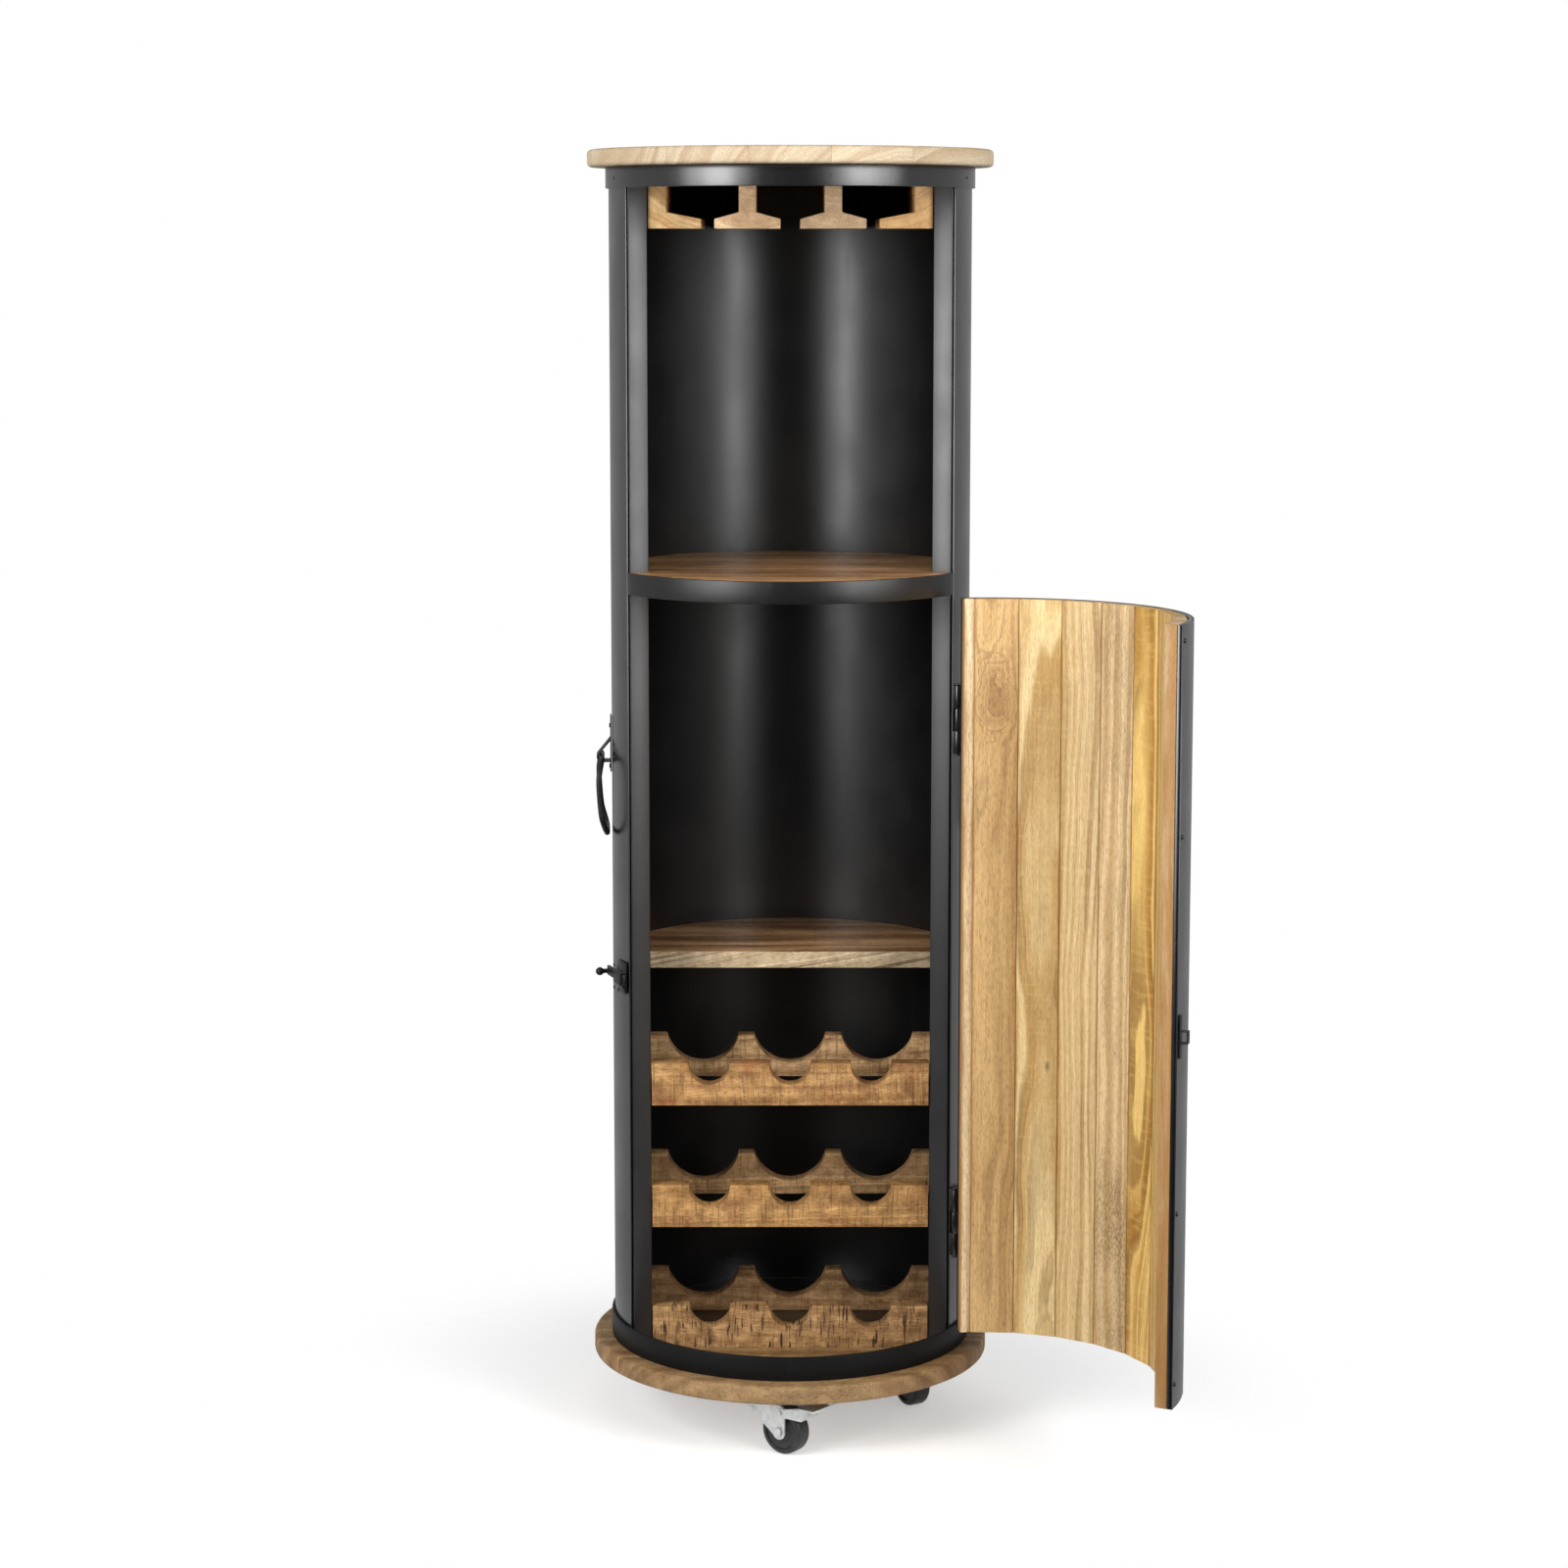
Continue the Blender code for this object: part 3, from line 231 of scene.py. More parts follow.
def wood(name, pale, deep, vein, heart, grain="Z", lean=0.0, seed=0.0, rings=150, lines=0.4, pores=0.45,
         flecks=0.5, curl=0.1, saw=0.0, ticks=0.0, smudge=0.0, stain=0.0, plank=0.0, knot=None, smear=None,
         joint=None, gloss=0.46):
    """Mango wood. The log's heart is a point that its growth rings run round, grain the axis they follow.

    Rings, lines, pores, flecks and curl are its figure, and saw, ticks, smudge and stain the marks on it.
    Plank is the width of its glued planks. A knot is a place, a size and a darkness, a smear a soiled place,
    and a joint the middle, direction and half width of a stave with glue at its edges.
    """
    finish, ink, shader, spot = blank(name)
    turn = Euler(LOG_TURNS[grain])
    turn.y += lean
    log = ink.node("Mapping", sockets={"Vector": spot, "Rotation": turn})
    middle = turn.to_matrix() @ Vector(heart)
    if plank:
        side = ink.node("SeparateXYZ", sockets={"Vector": spot}, out="X" if grain == "Y" else "Y") + seed
        row = ink.maths("FLOOR", side * (1 / plank))
        jump = ink.node("TexWhiteNoise", {"noise_dimensions": "1D"}, {"W": row}, out="Value")
        seam = window(ink.maths("PINGPONG", side, plank / 2), SEAM_WIDTH, 0.0001)
        leap = ink.node("CombineXYZ", sockets={0: jump * 0.21, 1: jump * 0.06, 2: jump * 1.9})
        log = vectors("ADD", log, leap)
    ring = vectors("DISTANCE", vectors("MULTIPLY", log, (1, 1, 0)), (middle.x, middle.y, 0), "Value")
    ring = ring + (noise(stretched(log, 7, 1.7, seed), detail=1) - 0.5) * 0.036
    ring = ring + (noise(stretched(log, 16, 5, seed + 7)) - 0.5) * 0.012
    ring = ring + (noise(stretched(log, 48, 9, seed + 3)) - 0.5) * 0.0036
    if knot:
        place, size, dark = knot
        near = around(spot, place, KNOT_SQUASH) + noise(spot, 1.5 / size, 4, 0.6) * (0.60 * size)
        hold = window(near, size, 0.40 * size)
        ring = ring * (1 - hold) + near * hold * 1.5
    growth = strata(ring, rings)
    band = strata(ring + 7.3, rings / 4.5, 1.0)
    line = window(abs(strata(ring + 3.1, rings * 0.8, 1.0) - 0.5), 0.035, 0.0)
    fibre = noise(stretched(log, 620, 9, seed), detail=3, rough=0.65)
    fleck = noise(stretched(log, 400, 48, seed + 11), detail=3, rough=0.6, twist=1.2)
    pore = window(noise(stretched(log, 1250, 150, seed), detail=1), 0.50, 0.68)
    cloud = noise(stretched(log, 11, 5, seed + 9), detail=2)
    wave = noise(stretched(log, 34, 170, seed + 5), detail=2)
    colour = tint(deep, pale, window(growth, 0.30, 0.68))
    colour = tint(colour, deep, window(band, 0.50, 0.70) * 0.75)
    colour = tint(colour, pale, window(band, 0.44, 0.30) * 0.6)
    colour = tint(colour, vein, line * window(cloud, 0.35, 0.65) * lines)
    colour = tint(colour, pale, window(wave, 0.50, 0.72) * curl)
    colour = tint(colour, tint(*FIBRE_TONES, fibre), 1.0, "MULTIPLY")
    colour = tint(colour, tint(*FLECK_TONES, fleck), flecks, "MULTIPLY")
    colour = tint(colour, vein, pore * pores)
    height = fibre * 0.5 - pore * 0.9 - line * 0.3
    if knot:
        colour = tint(colour, vein, window(near, size, 0.12 * size) * dark)
    if stain:
        patch = window(noise(spot, 21, 3, 0.6), 0.46, 0.68)
        colour = tint(colour, STAIN_COLOUR, patch * stain)
    if smudge:
        speckle = window(noise(stretched(log, 900, 240, seed + 4), detail=1), 0.42, 0.62)
        patch = window(noise(stretched(log, 26, 7, seed + 8), detail=3, rough=0.6), 0.44, 0.74)
        if smear:
            soiled = window(around(spot, smear, SMEAR_SQUASH), SMEAR_REACH, 0.008)
            patch = patch * 0.4 + soiled * window(cloud, 0.15, 0.5)
        colour = tint(colour, vein, patch * (0.3 + speckle * 0.7) * smudge)
    if saw:
        scratch = noise(stretched(log, 30, 520, seed + 2), detail=2, rough=0.7)
        mottle = window(noise(spot, 55, 4, 0.62), 0.22, 0.78)
        colour = tint(colour, tint(*MOTTLE_TONES, mottle), min(1.0, 0.45 + saw), "MULTIPLY")
        colour = tint(colour, vein, window(scratch, 0.48, 0.78) * saw)
        height = height - window(scratch, 0.45, 0.75) * 1.2
    if ticks:
        group = window(noise(spot, 34, 1), 0.36, 0.56)
        bite = window(noise(stretched(log, 48, 460, seed + 6), detail=1), 0.57, 0.63) * group
        colour = tint(colour, TICK_COLOUR, bite * ticks)
        height = height - bite * 1.5
    if plank:
        colour = tint(colour, tint(*PLANK_TONES, jump), 1.0, "MULTIPLY")
        colour = tint(colour, vein, seam * 0.4)
        height = height - seam * 2.5
    if joint:
        place, along, half = joint
        off = abs(vectors("DOT_PRODUCT", vectors("SUBTRACT", spot, place), along, "Value"))
        off = off + (noise(stretched(spot, 90, 14, seed), detail=2) - 0.5) * 0.006
        colour = tint(colour, GLUE_COLOUR, window(off, half - GLUE_WIDTH, half) * 0.75)
    bump = ink.node("Bump", sockets={"Strength": 0.35, "Distance": 0.0006, "Height": height})
    ink.feed(shader, Base_Color=colour, Roughness=gloss + fibre * 0.14 + pore * 0.12, Normal=bump)
    shader.inputs["Specular IOR Level"].default_value = 0.35
    return finish


base_low, base_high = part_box("base_board")
drum_middle = (base_low + base_high) / 2
ROUND_SIDES = 160
RIM_ROUND = 0.0042
RIM_SMOOTH = math.radians(40)


def round_board(name, low, high):
    """A turned disc with both rims rounded over."""
    height = high.z - low.z
    board = start(bpy.ops.mesh.primitive_cylinder_add, name, vertices=ROUND_SIDES,
                  radius=(high.x - low.x) / 2, depth=height, location=(low + high) / 2)
    pick(board, "EDGE", lambda middle, way: abs(way.z) < 0.5 and abs(abs(middle.z) - height / 2) < 1e-5)
    bpy.ops.mesh.bevel(offset=RIM_ROUND, segments=5, affect="EDGES")
    settle(board)
    bpy.ops.object.shade_smooth_by_angle(angle=RIM_SMOOTH)
    return board


base = round_board("fine_base_board", base_low, base_high)
base_wood = wood("base_mango", shade(178, 148, 107), shade(138, 108, 70), shade(70, 48, 28),
                 drum_middle + Vector((0, -0.30, -0.16)), "X", lean=0.05, seed=0.031, rings=60, lines=0.2,
                 saw=0.2, smudge=0.5, stain=0.2, plank=0.112, gloss=0.5)
dress(base, base_wood, "mango_wood", "cabinet", "base_board")


# Casters
# Four stock swivel casters: a zinc plated plate bolted under the base, a pressed fork with its race,
# and a black wheel on a bolt through the fork's ears. The front one has a foot brake astride its fork.
SHARP_ANGLE = math.radians(28)
SMOOTH_ANGLE = math.radians(38)


def shape(piece, kind, **settings):
    """Puts one modifier on a piece and applies it."""
    step = piece.modifiers.new(kind, kind)
    for name, value in settings.items():
        setattr(step, name, value)
    bpy.ops.object.select_all(action="DESELECT")
    piece.select_set(True)
    bpy.context.view_layer.objects.active = piece
    bpy.ops.object.modifier_apply(modifier=step.name)
    return piece


def soften(piece, width, segments=2):
    """Rounds the sharp edges and shades the piece smooth between those that stay."""
    shape(piece, "BEVEL", width=width, segments=segments, limit_method="ANGLE", angle_limit=SHARP_ANGLE,
          miter_outer="MITER_ARC")
    bpy.ops.object.shade_smooth_by_angle(angle=SMOOTH_ANGLE)
    return piece


def copy_of(node, name):
    """A merged copy of a solid, ready to be softened."""
    bpy.ops.object.select_all(action="DESELECT")
    solid = frame["nodes"][node]
    solid.select_set(True)
    bpy.context.view_layer.objects.active = solid
    bpy.ops.object.duplicate()
    piece = bpy.context.object
    piece.name = piece.data.name = name
    del piece["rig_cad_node"]
    bpy.ops.mesh.customdata_custom_splitnormals_clear()
    bpy.ops.object.mode_set(mode="EDIT")
    bpy.ops.mesh.select_all(action="SELECT")
    bpy.ops.mesh.remove_doubles(threshold=0.00001)
    bpy.ops.mesh.dissolve_limited(angle_limit=math.radians(1))
    bpy.ops.object.mode_set(mode="OBJECT")
    return piece


def placed_copy(model, name, place, turn, size=1.0):
    """A copy of a model with its own mesh, sized, turned and moved to its place."""
    bpy.ops.object.select_all(action="DESELECT")
    model.select_set(True)
    bpy.context.view_layer.objects.active = model
    bpy.ops.object.duplicate()
    piece = bpy.context.object
    piece.name = piece.data.name = name
    piece.location = place
    piece.rotation_euler = turn
    piece.scale = (size, size, size)
    return settle(piece)


def zinc():
    """Bright zinc plating with its spangle, dulled in patches and scratched by handling."""
    finish, ink, shader, spot = blank("zinc_plate")
    spangle = ink.node("TexVoronoi", {"feature": "F1"}, {"Vector": spot, "Scale": 210.0}, out="Color")
    grey = ink.node("RGBToBW", sockets={"Color": spangle})
    cloud = noise(spot, 60, 3)
    scratch = window(noise(stretched(spot, 900, 40), detail=1), 0.62, 0.70)
    colour = tint(shade(186, 189, 190), shade(226, 228, 228), grey * 0.6 + cloud * 0.4)
    colour = tint(colour, shade(132, 130, 124), window(cloud, 0.55, 0.75) * 0.5)
    bump = ink.node("Bump", sockets={"Strength": 0.12, "Distance": 0.0003, "Height": cloud - scratch * 0.5})
    ink.feed(shader, Base_Color=colour, Roughness=0.34 + cloud * 0.2 + scratch * 0.15, Normal=bump)
    shader.inputs["Metallic"].default_value = 0.8
    return finish


def rubber():
    """Black moulded tyre, grey with floor dust where it rolls."""
    finish, ink, shader, spot = blank("wheel_rubber")
    dust = window(noise(spot, 95, 4, 0.65), 0.45, 0.80)
    colour = tint(shade(26, 26, 27), shade(78, 76, 73), dust * 0.45)
    bump = ink.node("Bump", sockets={"Strength": 0.15, "Distance": 0.0003, "Height": noise(spot, 900, 2)})
    ink.feed(shader, Base_Color=colour, Roughness=0.42 + dust * 0.3, Normal=bump)
    return finish


zinc_finish = zinc()
rubber_finish = rubber()
wheel_low, wheel_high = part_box("caster_front_wheel")
WHEEL_RADIUS = (wheel_high.z - wheel_low.z) / 2
WHEEL_WIDTH = 0.0199
WHEEL_SIDES = 72
TYRE = 0.0055
TYRE_LIP = 0.0008
TREAD_BAND = 0.0005
TREAD_ROUND = 0.0038
DISH = 0.0022
DISH_SHARE = 1 - 2 * DISH / WHEEL_WIDTH
HUB = 0.0105
HUB_SLOPE = 0.0016
WHEEL_EDGE = 0.0004

wheel_model = start(bpy.ops.mesh.primitive_cylinder_add, "wheel_model", vertices=WHEEL_SIDES,
                    radius=WHEEL_RADIUS, depth=WHEEL_WIDTH)
pick(wheel_model, "FACE", lambda middle, way: abs(way.z) > 0.9)
bpy.ops.mesh.inset(thickness=TYRE)
bpy.ops.mesh.inset(thickness=TYRE_LIP)
bpy.ops.transform.resize(value=(1, 1, DISH_SHARE))
bpy.ops.mesh.inset(thickness=WHEEL_RADIUS - TYRE - TYRE_LIP - HUB - HUB_SLOPE)
bpy.ops.mesh.inset(thickness=HUB_SLOPE)
bpy.ops.transform.resize(value=(1, 1, 1 / DISH_SHARE))
pick(wheel_model, "EDGE",
     lambda middle, way: middle.xy.length > WHEEL_RADIUS - TREAD_BAND and abs(way.z) < 0.5)
bpy.ops.mesh.bevel(offset=TREAD_ROUND, segments=5, affect="EDGES")
settle(wheel_model)
soften(wheel_model, WHEEL_EDGE)

BOLT_HEAD = 0.0034
BOLT_RADIUS = 0.0049
BOLT_SHANK_INSET = 0.0016
BOLT_SHANK = 0.0009
BOLT_SHANK_ROUND = 0.0008
BOLT_SINK = 0.0004
BOLT_EDGE = 0.0004
BOLT_CIRCLE = 0.0305
bolt_model = start(bpy.ops.mesh.primitive_cylinder_add, "bolt_model", vertices=6, radius=BOLT_RADIUS,
                   depth=BOLT_HEAD)
pick(bolt_model, "FACE", lambda middle, way: way.z > 0.9)
bpy.ops.mesh.inset(thickness=BOLT_SHANK_INSET)
bpy.ops.mesh.extrude_region_move(TRANSFORM_OT_translate={"value": (0, 0, BOLT_SHANK)})
bpy.ops.mesh.inset(thickness=BOLT_SHANK_ROUND)
settle(bolt_model)
soften(bolt_model, BOLT_EDGE)

PLATE_EDGE = 0.0005
FORK_EDGE = 0.0008
AXLE_EDGE = 0.0007
BRAKE_EDGE = 0.0006
for word in ("front", "right", "rear", "left"):
    plate = copy_of(f"caster_{word}_plate", f"fine_caster_{word}_plate")
    dress(soften(plate, PLATE_EDGE), zinc_finish, "zinc_plate", "cabinet", f"caster_{word}_plate")
    fork = copy_of(f"caster_{word}_fork", f"fine_caster_{word}_fork")
    dress(soften(fork, FORK_EDGE, 3), zinc_finish, "zinc_plate", f"{word}_caster", f"caster_{word}_fork")
    axle = copy_of(f"caster_{word}_axle", f"fine_caster_{word}_axle")
    axle_body = frame["nodes"][f"caster_{word}_axle"]["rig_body"]
    dress(soften(axle, AXLE_EDGE, 3), zinc_finish, "zinc_plate", axle_body, f"caster_{word}_axle")
    low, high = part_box(f"caster_{word}_wheel")
    joint = next(joint for joint in frame["joints"] if joint["name"] == f"{word}_roll")
    heading = math.atan2(joint["axis"][1], joint["axis"][0])
    wheel = placed_copy(wheel_model, f"fine_caster_{word}_wheel", (low + high) / 2, (0, math.pi / 2, heading))
    dress(wheel, rubber_finish, "black_rubber", f"{word}_wheel", f"caster_{word}_wheel")
    plate_low, plate_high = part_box(f"caster_{word}_plate")
    spot = (plate_low + plate_high) / 2
    outward = math.atan2(spot.y - drum_middle.y, spot.x - drum_middle.x)
    for corner in range(4):
        turn = outward + math.pi / 4 + corner * math.pi / 2
        place = Vector((spot.x + BOLT_CIRCLE * math.cos(turn), spot.y + BOLT_CIRCLE * math.sin(turn),
                        plate_low.z - BOLT_HEAD / 2 + BOLT_SINK))
        bolt = placed_copy(bolt_model, f"caster_{word}_bolt_{corner + 1}", place, (math.pi, 0, turn))
        dress(bolt, zinc_finish, "zinc_plate", "cabinet")
bpy.data.objects.remove(wheel_model, do_unlink=True)
bpy.data.objects.remove(bolt_model, do_unlink=True)

brake = copy_of("caster_front_brake", "fine_caster_front_brake")
dress(soften(brake, BRAKE_EDGE, 3), zinc_finish, "zinc_plate", "front_brake", "caster_front_brake")


# Drum
# Sheet steel rolled to a cylinder with a tall opening, flat bar hoops round its ends, square tube
# welded up the sides of the opening and an angle across it, all sprayed satin black. The black paint
# is also laid on the base board inside the drum, behind the front bar of the lowest rack, as painted
# shade for the deep shadow there.
def black_paint(name, base, rough, shine, grain, dust, coat=0.0):
    """Satin black sprayed on steel: fine peel, a dry grain where it is thin, and dust that settled in it."""
    finish, ink, shader, spot = blank(name)
    peel = noise(spot, 320, 3, 0.6)
    fine = noise(spot, 1300, 2, 0.6)
    cloud = noise(spot, 14, 3, 0.55)
    speck = window(noise(spot, 520, 1), 0.70, 0.76)
    rub = window(noise(stretched(spot, 60, 7), detail=3, rough=0.7), 0.60, 0.78)
    colour = tint(base, shade(58, 58, 60), speck * dust + rub * dust * 0.35)
    height = peel * 0.6 + fine * 0.4
    bump = ink.node("Bump", sockets={"Strength": grain, "Distance": 0.0004, "Height": height})
    ink.feed(shader, Base_Color=colour, Normal=bump,
             Roughness=rough + (cloud - 0.5) * 0.24 + (fine - 0.5) * 0.08 + rub * 0.05)
    shader.inputs["Specular IOR Level"].default_value = shine
    shader.inputs["Coat Weight"].default_value = coat
    shader.inputs["Coat Roughness"].default_value = 0.2
    return finish


# Colour, roughness, shine, grain and dust of each coat of paint
drum_paint = black_paint("drum_black", shade(12, 12, 13), 0.34, 0.80, 0.18, 0.25, coat=0.20)
jamb_paint = black_paint("jamb_black", shade(24, 24, 26), 0.40, 0.85, 0.25, 0.40)
bar_paint = black_paint("bar_black", shade(19, 19, 21), 0.25, 0.90, 0.12, 0.25)
foot_paint = black_paint("foot_black", shade(12, 12, 13), 0.50, 0.20, 0.20, 0.30)
rail_paint = black_paint("rail_black", shade(17, 17, 18), 0.36, 0.50, 0.20, 0.40)
SHEET = 0.0015
SHEET_EDGE = 0.0003
OPENING = math.radians(63)
SHELL_SIDES = 120
BAR_EDGE = 0.0007
JAMB_EDGE = 0.0013
HOOP_GAP = 0.0003
RAIL_BAR = 0.003
RAIL_LEDGE = 0.020


def front_angle(middle):
    """Angle of a point round the drum, 0 at the front and positive to the right."""
    return math.atan2(middle.x, -middle.y)


shell_low, shell_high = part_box("drum_shell")
shell_radius = shell_high.y - drum_middle.y
shell = start(bpy.ops.mesh.primitive_cylinder_add, "fine_drum_shell", vertices=SHELL_SIDES,
              radius=shell_radius, depth=shell_high.z - shell_low.z, end_fill_type="NOTHING",
              location=(drum_middle.x, drum_middle.y, (shell_low.z + shell_high.z) / 2))
pick(shell, "FACE", lambda middle, way: abs(front_angle(middle)) < OPENING)
bpy.ops.mesh.delete(type="FACE")
settle(shell)
shape(shell, "SOLIDIFY", thickness=SHEET, offset=-1)
soften(shell, SHEET_EDGE, 1)
dress(shell, drum_paint, "black_paint", "cabinet", "drum_shell")

# Painted shade: the base board's top inside the drum, behind the lowest front bar, takes the black drum paint
# in place of the shadow that falls there.
bpy.context.view_layer.objects.active = base
bpy.ops.object.mode_set(mode="EDIT")
pick(base, "FACE", lambda middle, way: way.z > 0.99 and middle.z > base_high.z - 1e-4)
bpy.ops.mesh.inset(thickness=(base_high.x - base_low.x) / 2 - RIM_ROUND - shell_radius + SHEET)
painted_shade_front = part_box("rack_1_front_bar")[1].y
bpy.ops.mesh.bisect(plane_co=(drum_middle.x, painted_shade_front, base_high.z), plane_no=(0, 1, 0))
settle(base)
base.data.materials.append(drum_paint)
for face in base.data.polygons:
    spread = max((base.data.vertices[corner].co - drum_middle).xy.length for corner in face.vertices)
    if face.normal.z > 0.99 and spread < shell_radius and face.center.y > painted_shade_front:
        face.material_index = 1


def hoop(name, node, paint):
    """A flat bar rolled to a ring with rounded edges."""
    low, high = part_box(node)
    radius = (high.x - low.x) / 2
    ring = start(bpy.ops.mesh.primitive_cylinder_add, name, vertices=ROUND_SIDES, radius=radius,
                 depth=high.z - low.z, end_fill_type="NOTHING", location=(low + high) / 2)
    settle(ring)
    shape(ring, "SOLIDIFY", thickness=radius - shell_radius - HOOP_GAP, offset=-1)
    dress(soften(ring, BAR_EDGE, 3), paint, "black_paint", "cabinet", node)


hoop("fine_top_hoop", "top_hoop", bar_paint)
hoop("fine_bottom_hoop", "bottom_hoop", foot_paint)
for side in ("left", "right"):
    jamb = copy_of(f"{side}_jamb", f"fine_{side}_jamb")
    dress(soften(jamb, JAMB_EDGE, 3), jamb_paint, "black_paint", "cabinet", f"{side}_jamb")

rail_low, rail_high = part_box("mid_rail")
rail = start(bpy.ops.mesh.primitive_cylinder_add, "fine_mid_rail", vertices=SHELL_SIDES, radius=shell_radius,
             depth=rail_high.z - rail_low.z, end_fill_type="NOTHING",
             location=(drum_middle.x, drum_middle.y, (rail_low.z + rail_high.z) / 2))
pick(rail, "FACE", lambda middle, way: abs(front_angle(middle)) > OPENING)
bpy.ops.mesh.delete(type="FACE")
rail_half = (rail_high.z - rail_low.z) / 2
pick(rail, "EDGE", lambda middle, way: middle.z < -rail_half + 1e-5 and abs(way.z) < 0.5)
bpy.ops.mesh.extrude_edges_move()
inset = 1 - RAIL_LEDGE / shell_radius
bpy.ops.transform.resize(value=(inset, inset, 1),
                         center_override=(drum_middle.x, drum_middle.y, rail_low.z))
settle(rail)
shape(rail, "SOLIDIFY", thickness=RAIL_BAR, offset=-1, use_even_offset=True)
dress(soften(rail, BAR_EDGE, 3), rail_paint, "black_paint", "cabinet", "mid_rail")


# Shelves
# Two glued panels of brown mango with the grain from side to side, lacquered on top. The upper one is
# a disc notched round the tubes, the lower a half disc whose sawn front edge stays pale.
shelf_wood = wood("shelf_mango", shade(236, 190, 137), shade(174, 127, 85), shade(64, 40, 24),
                  drum_middle + Vector((0, -0.05, 0.80)), "X", seed=0.017, rings=90, lines=0.7, smudge=0.4,
                  stain=0.3, plank=0.062, gloss=0.26)
edge_wood = wood("shelf_edge_mango", shade(222, 203, 172), shade(188, 166, 134), shade(76, 54, 36),
                 drum_middle + Vector((0, 0.12, 0.16)), "X", lean=0.16, seed=0.4, rings=210, lines=0.9,
                 saw=0.15, gloss=0.55)
SHELF_EDGE = 0.0008
upper = copy_of("upper_shelf", "fine_upper_shelf")
dress(soften(upper, SHELF_EDGE), shelf_wood, "shelf_wood", "cabinet", "upper_shelf")
lower_low, lower_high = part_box("lower_shelf")
lower = start(bpy.ops.mesh.primitive_cylinder_add, "fine_lower_shelf", vertices=ROUND_SIDES,
              radius=lower_high.y - drum_middle.y, depth=lower_high.z - lower_low.z,
              location=(drum_middle.x, drum_middle.y, (lower_low.z + lower_high.z) / 2))
bpy.ops.mesh.select_all(action="SELECT")
bpy.ops.mesh.bisect(plane_co=(drum_middle.x, lower_low.y, 0), plane_no=(0, 1, 0), use_fill=True,
                    clear_inner=True)
settle(lower)
soften(lower, SHELF_EDGE)
dress(lower, shelf_wood, "shelf_wood", "cabinet", "lower_shelf")
lower.data.materials.append(edge_wood)
for face in lower.data.polygons:
    if face.normal.y < -0.5:
        face.material_index = 1


# Bottle racks
# Three tiers of two sawn mango bars each: the front one notched for the necks, the back one scooped
# for the bodies. The saw left its marks on their faces, and their edges are only just broken.
BOTTLES = 3
SAWN_EDGE = 0.0007
SCOOP_SIDES = 72
# Radius, depth and spacing of the scoops in each bar
SCOOPS = {"front": (0.022, 0.0235, 0.087), "back": (0.041, 0.031, 0.097)}
# Pale and deep tone, then how strong the saw marks, ticks and stain are
RACK_TONES = {("front", 1): (shade(190, 152, 105), shade(161, 124, 82), 0.65, 0.95, 0.10),
              ("front", 2): (shade(203, 160, 103), shade(174, 131, 80), 0.75, 0.10, 0.35),
              ("front", 3): (shade(195, 153, 100), shade(170, 127, 80), 0.60, 0.30, 0.55),
              ("back", 1): (shade(190, 150, 106), shade(152, 116, 78), 0.60, 0.0, 0.0),
              ("back", 2): (shade(214, 174, 126), shade(172, 134, 92), 0.60, 0.0, 0.15),
              ("back", 3): (shade(220, 180, 132), shade(176, 138, 96), 0.60, 0.0, 0.15)}
for (row, tier), (pale, deep, saw, ticks, stain) in RACK_TONES.items():
    node = f"rack_{tier}_{row}_bar"
    low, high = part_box(node)
    radius, depth, pitch = SCOOPS[row]
    size = high - low
    bar = start(bpy.ops.mesh.primitive_cube_add, f"fine_{node}", size=1, location=(low + high) / 2)
    bpy.ops.transform.resize(value=size)
    settle(bar)
    for bottle in range(BOTTLES):
        across = (bottle - (BOTTLES - 1) / 2) * pitch
        place = ((low.x + high.x) / 2 + across, (low.y + high.y) / 2, high.z - depth + radius)
        cutter = start(bpy.ops.mesh.primitive_cylinder_add, "scoop", vertices=SCOOP_SIDES, radius=radius,
                       depth=3 * size.y, location=place, rotation=(math.pi / 2, 0, 0))
        settle(cutter)
        shape(bar, "BOOLEAN", operation="DIFFERENCE", object=cutter)
        bpy.data.objects.remove(cutter, do_unlink=True)
    soften(bar, SAWN_EDGE)
    bar_wood = wood(f"{node}_mango", pale, deep, shade(66, 40, 22),
                    (low + high) / 2 + Vector((0, 0.05, -0.07 * tier)), "X", lean=0.03 * (tier - 2),
                    seed=0.37 * tier + len(row), rings=130, lines=0.10, saw=saw, ticks=ticks, smudge=0.4,
                    stain=stain, gloss=0.55)
    dress(bar, bar_wood, "mango_wood", "cabinet", node)


# Stemware rails
# Four hardwood runners screwed up under the top board, T shaped in the middle and L shaped at the
# sides, sawn off square so that their front ends show end grain.
RUNNER_EDGE = 0.0008
RAIL_TONES = {"glass_rail_left_side": (shade(216, 182, 134), shade(188, 149, 101)),
              "glass_rail_left": (shade(230, 200, 163), shade(206, 172, 135)),
              "glass_rail_right": (shade(220, 192, 160), shade(190, 161, 129)),
              "glass_rail_right_side": (shade(232, 194, 142), shade(200, 158, 108))}
for index, (node, (pale, deep)) in enumerate(RAIL_TONES.items()):
    low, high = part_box(node)
    rail_wood = wood(f"{node}_mango", pale, deep, shade(92, 62, 40),
                     (low + high) / 2 + Vector((0.06 - 0.03 * index, 0, 0.09)), "Y", seed=1.3 * index,
                     rings=120, lines=0.3, saw=0.1, smudge=0.15 + 0.25 * (index == 2), gloss=0.55)
    runner = copy_of(node, f"fine_{node}")
    dress(soften(runner, RUNNER_EDGE), rail_wood, "mango_wood", "cabinet", node)


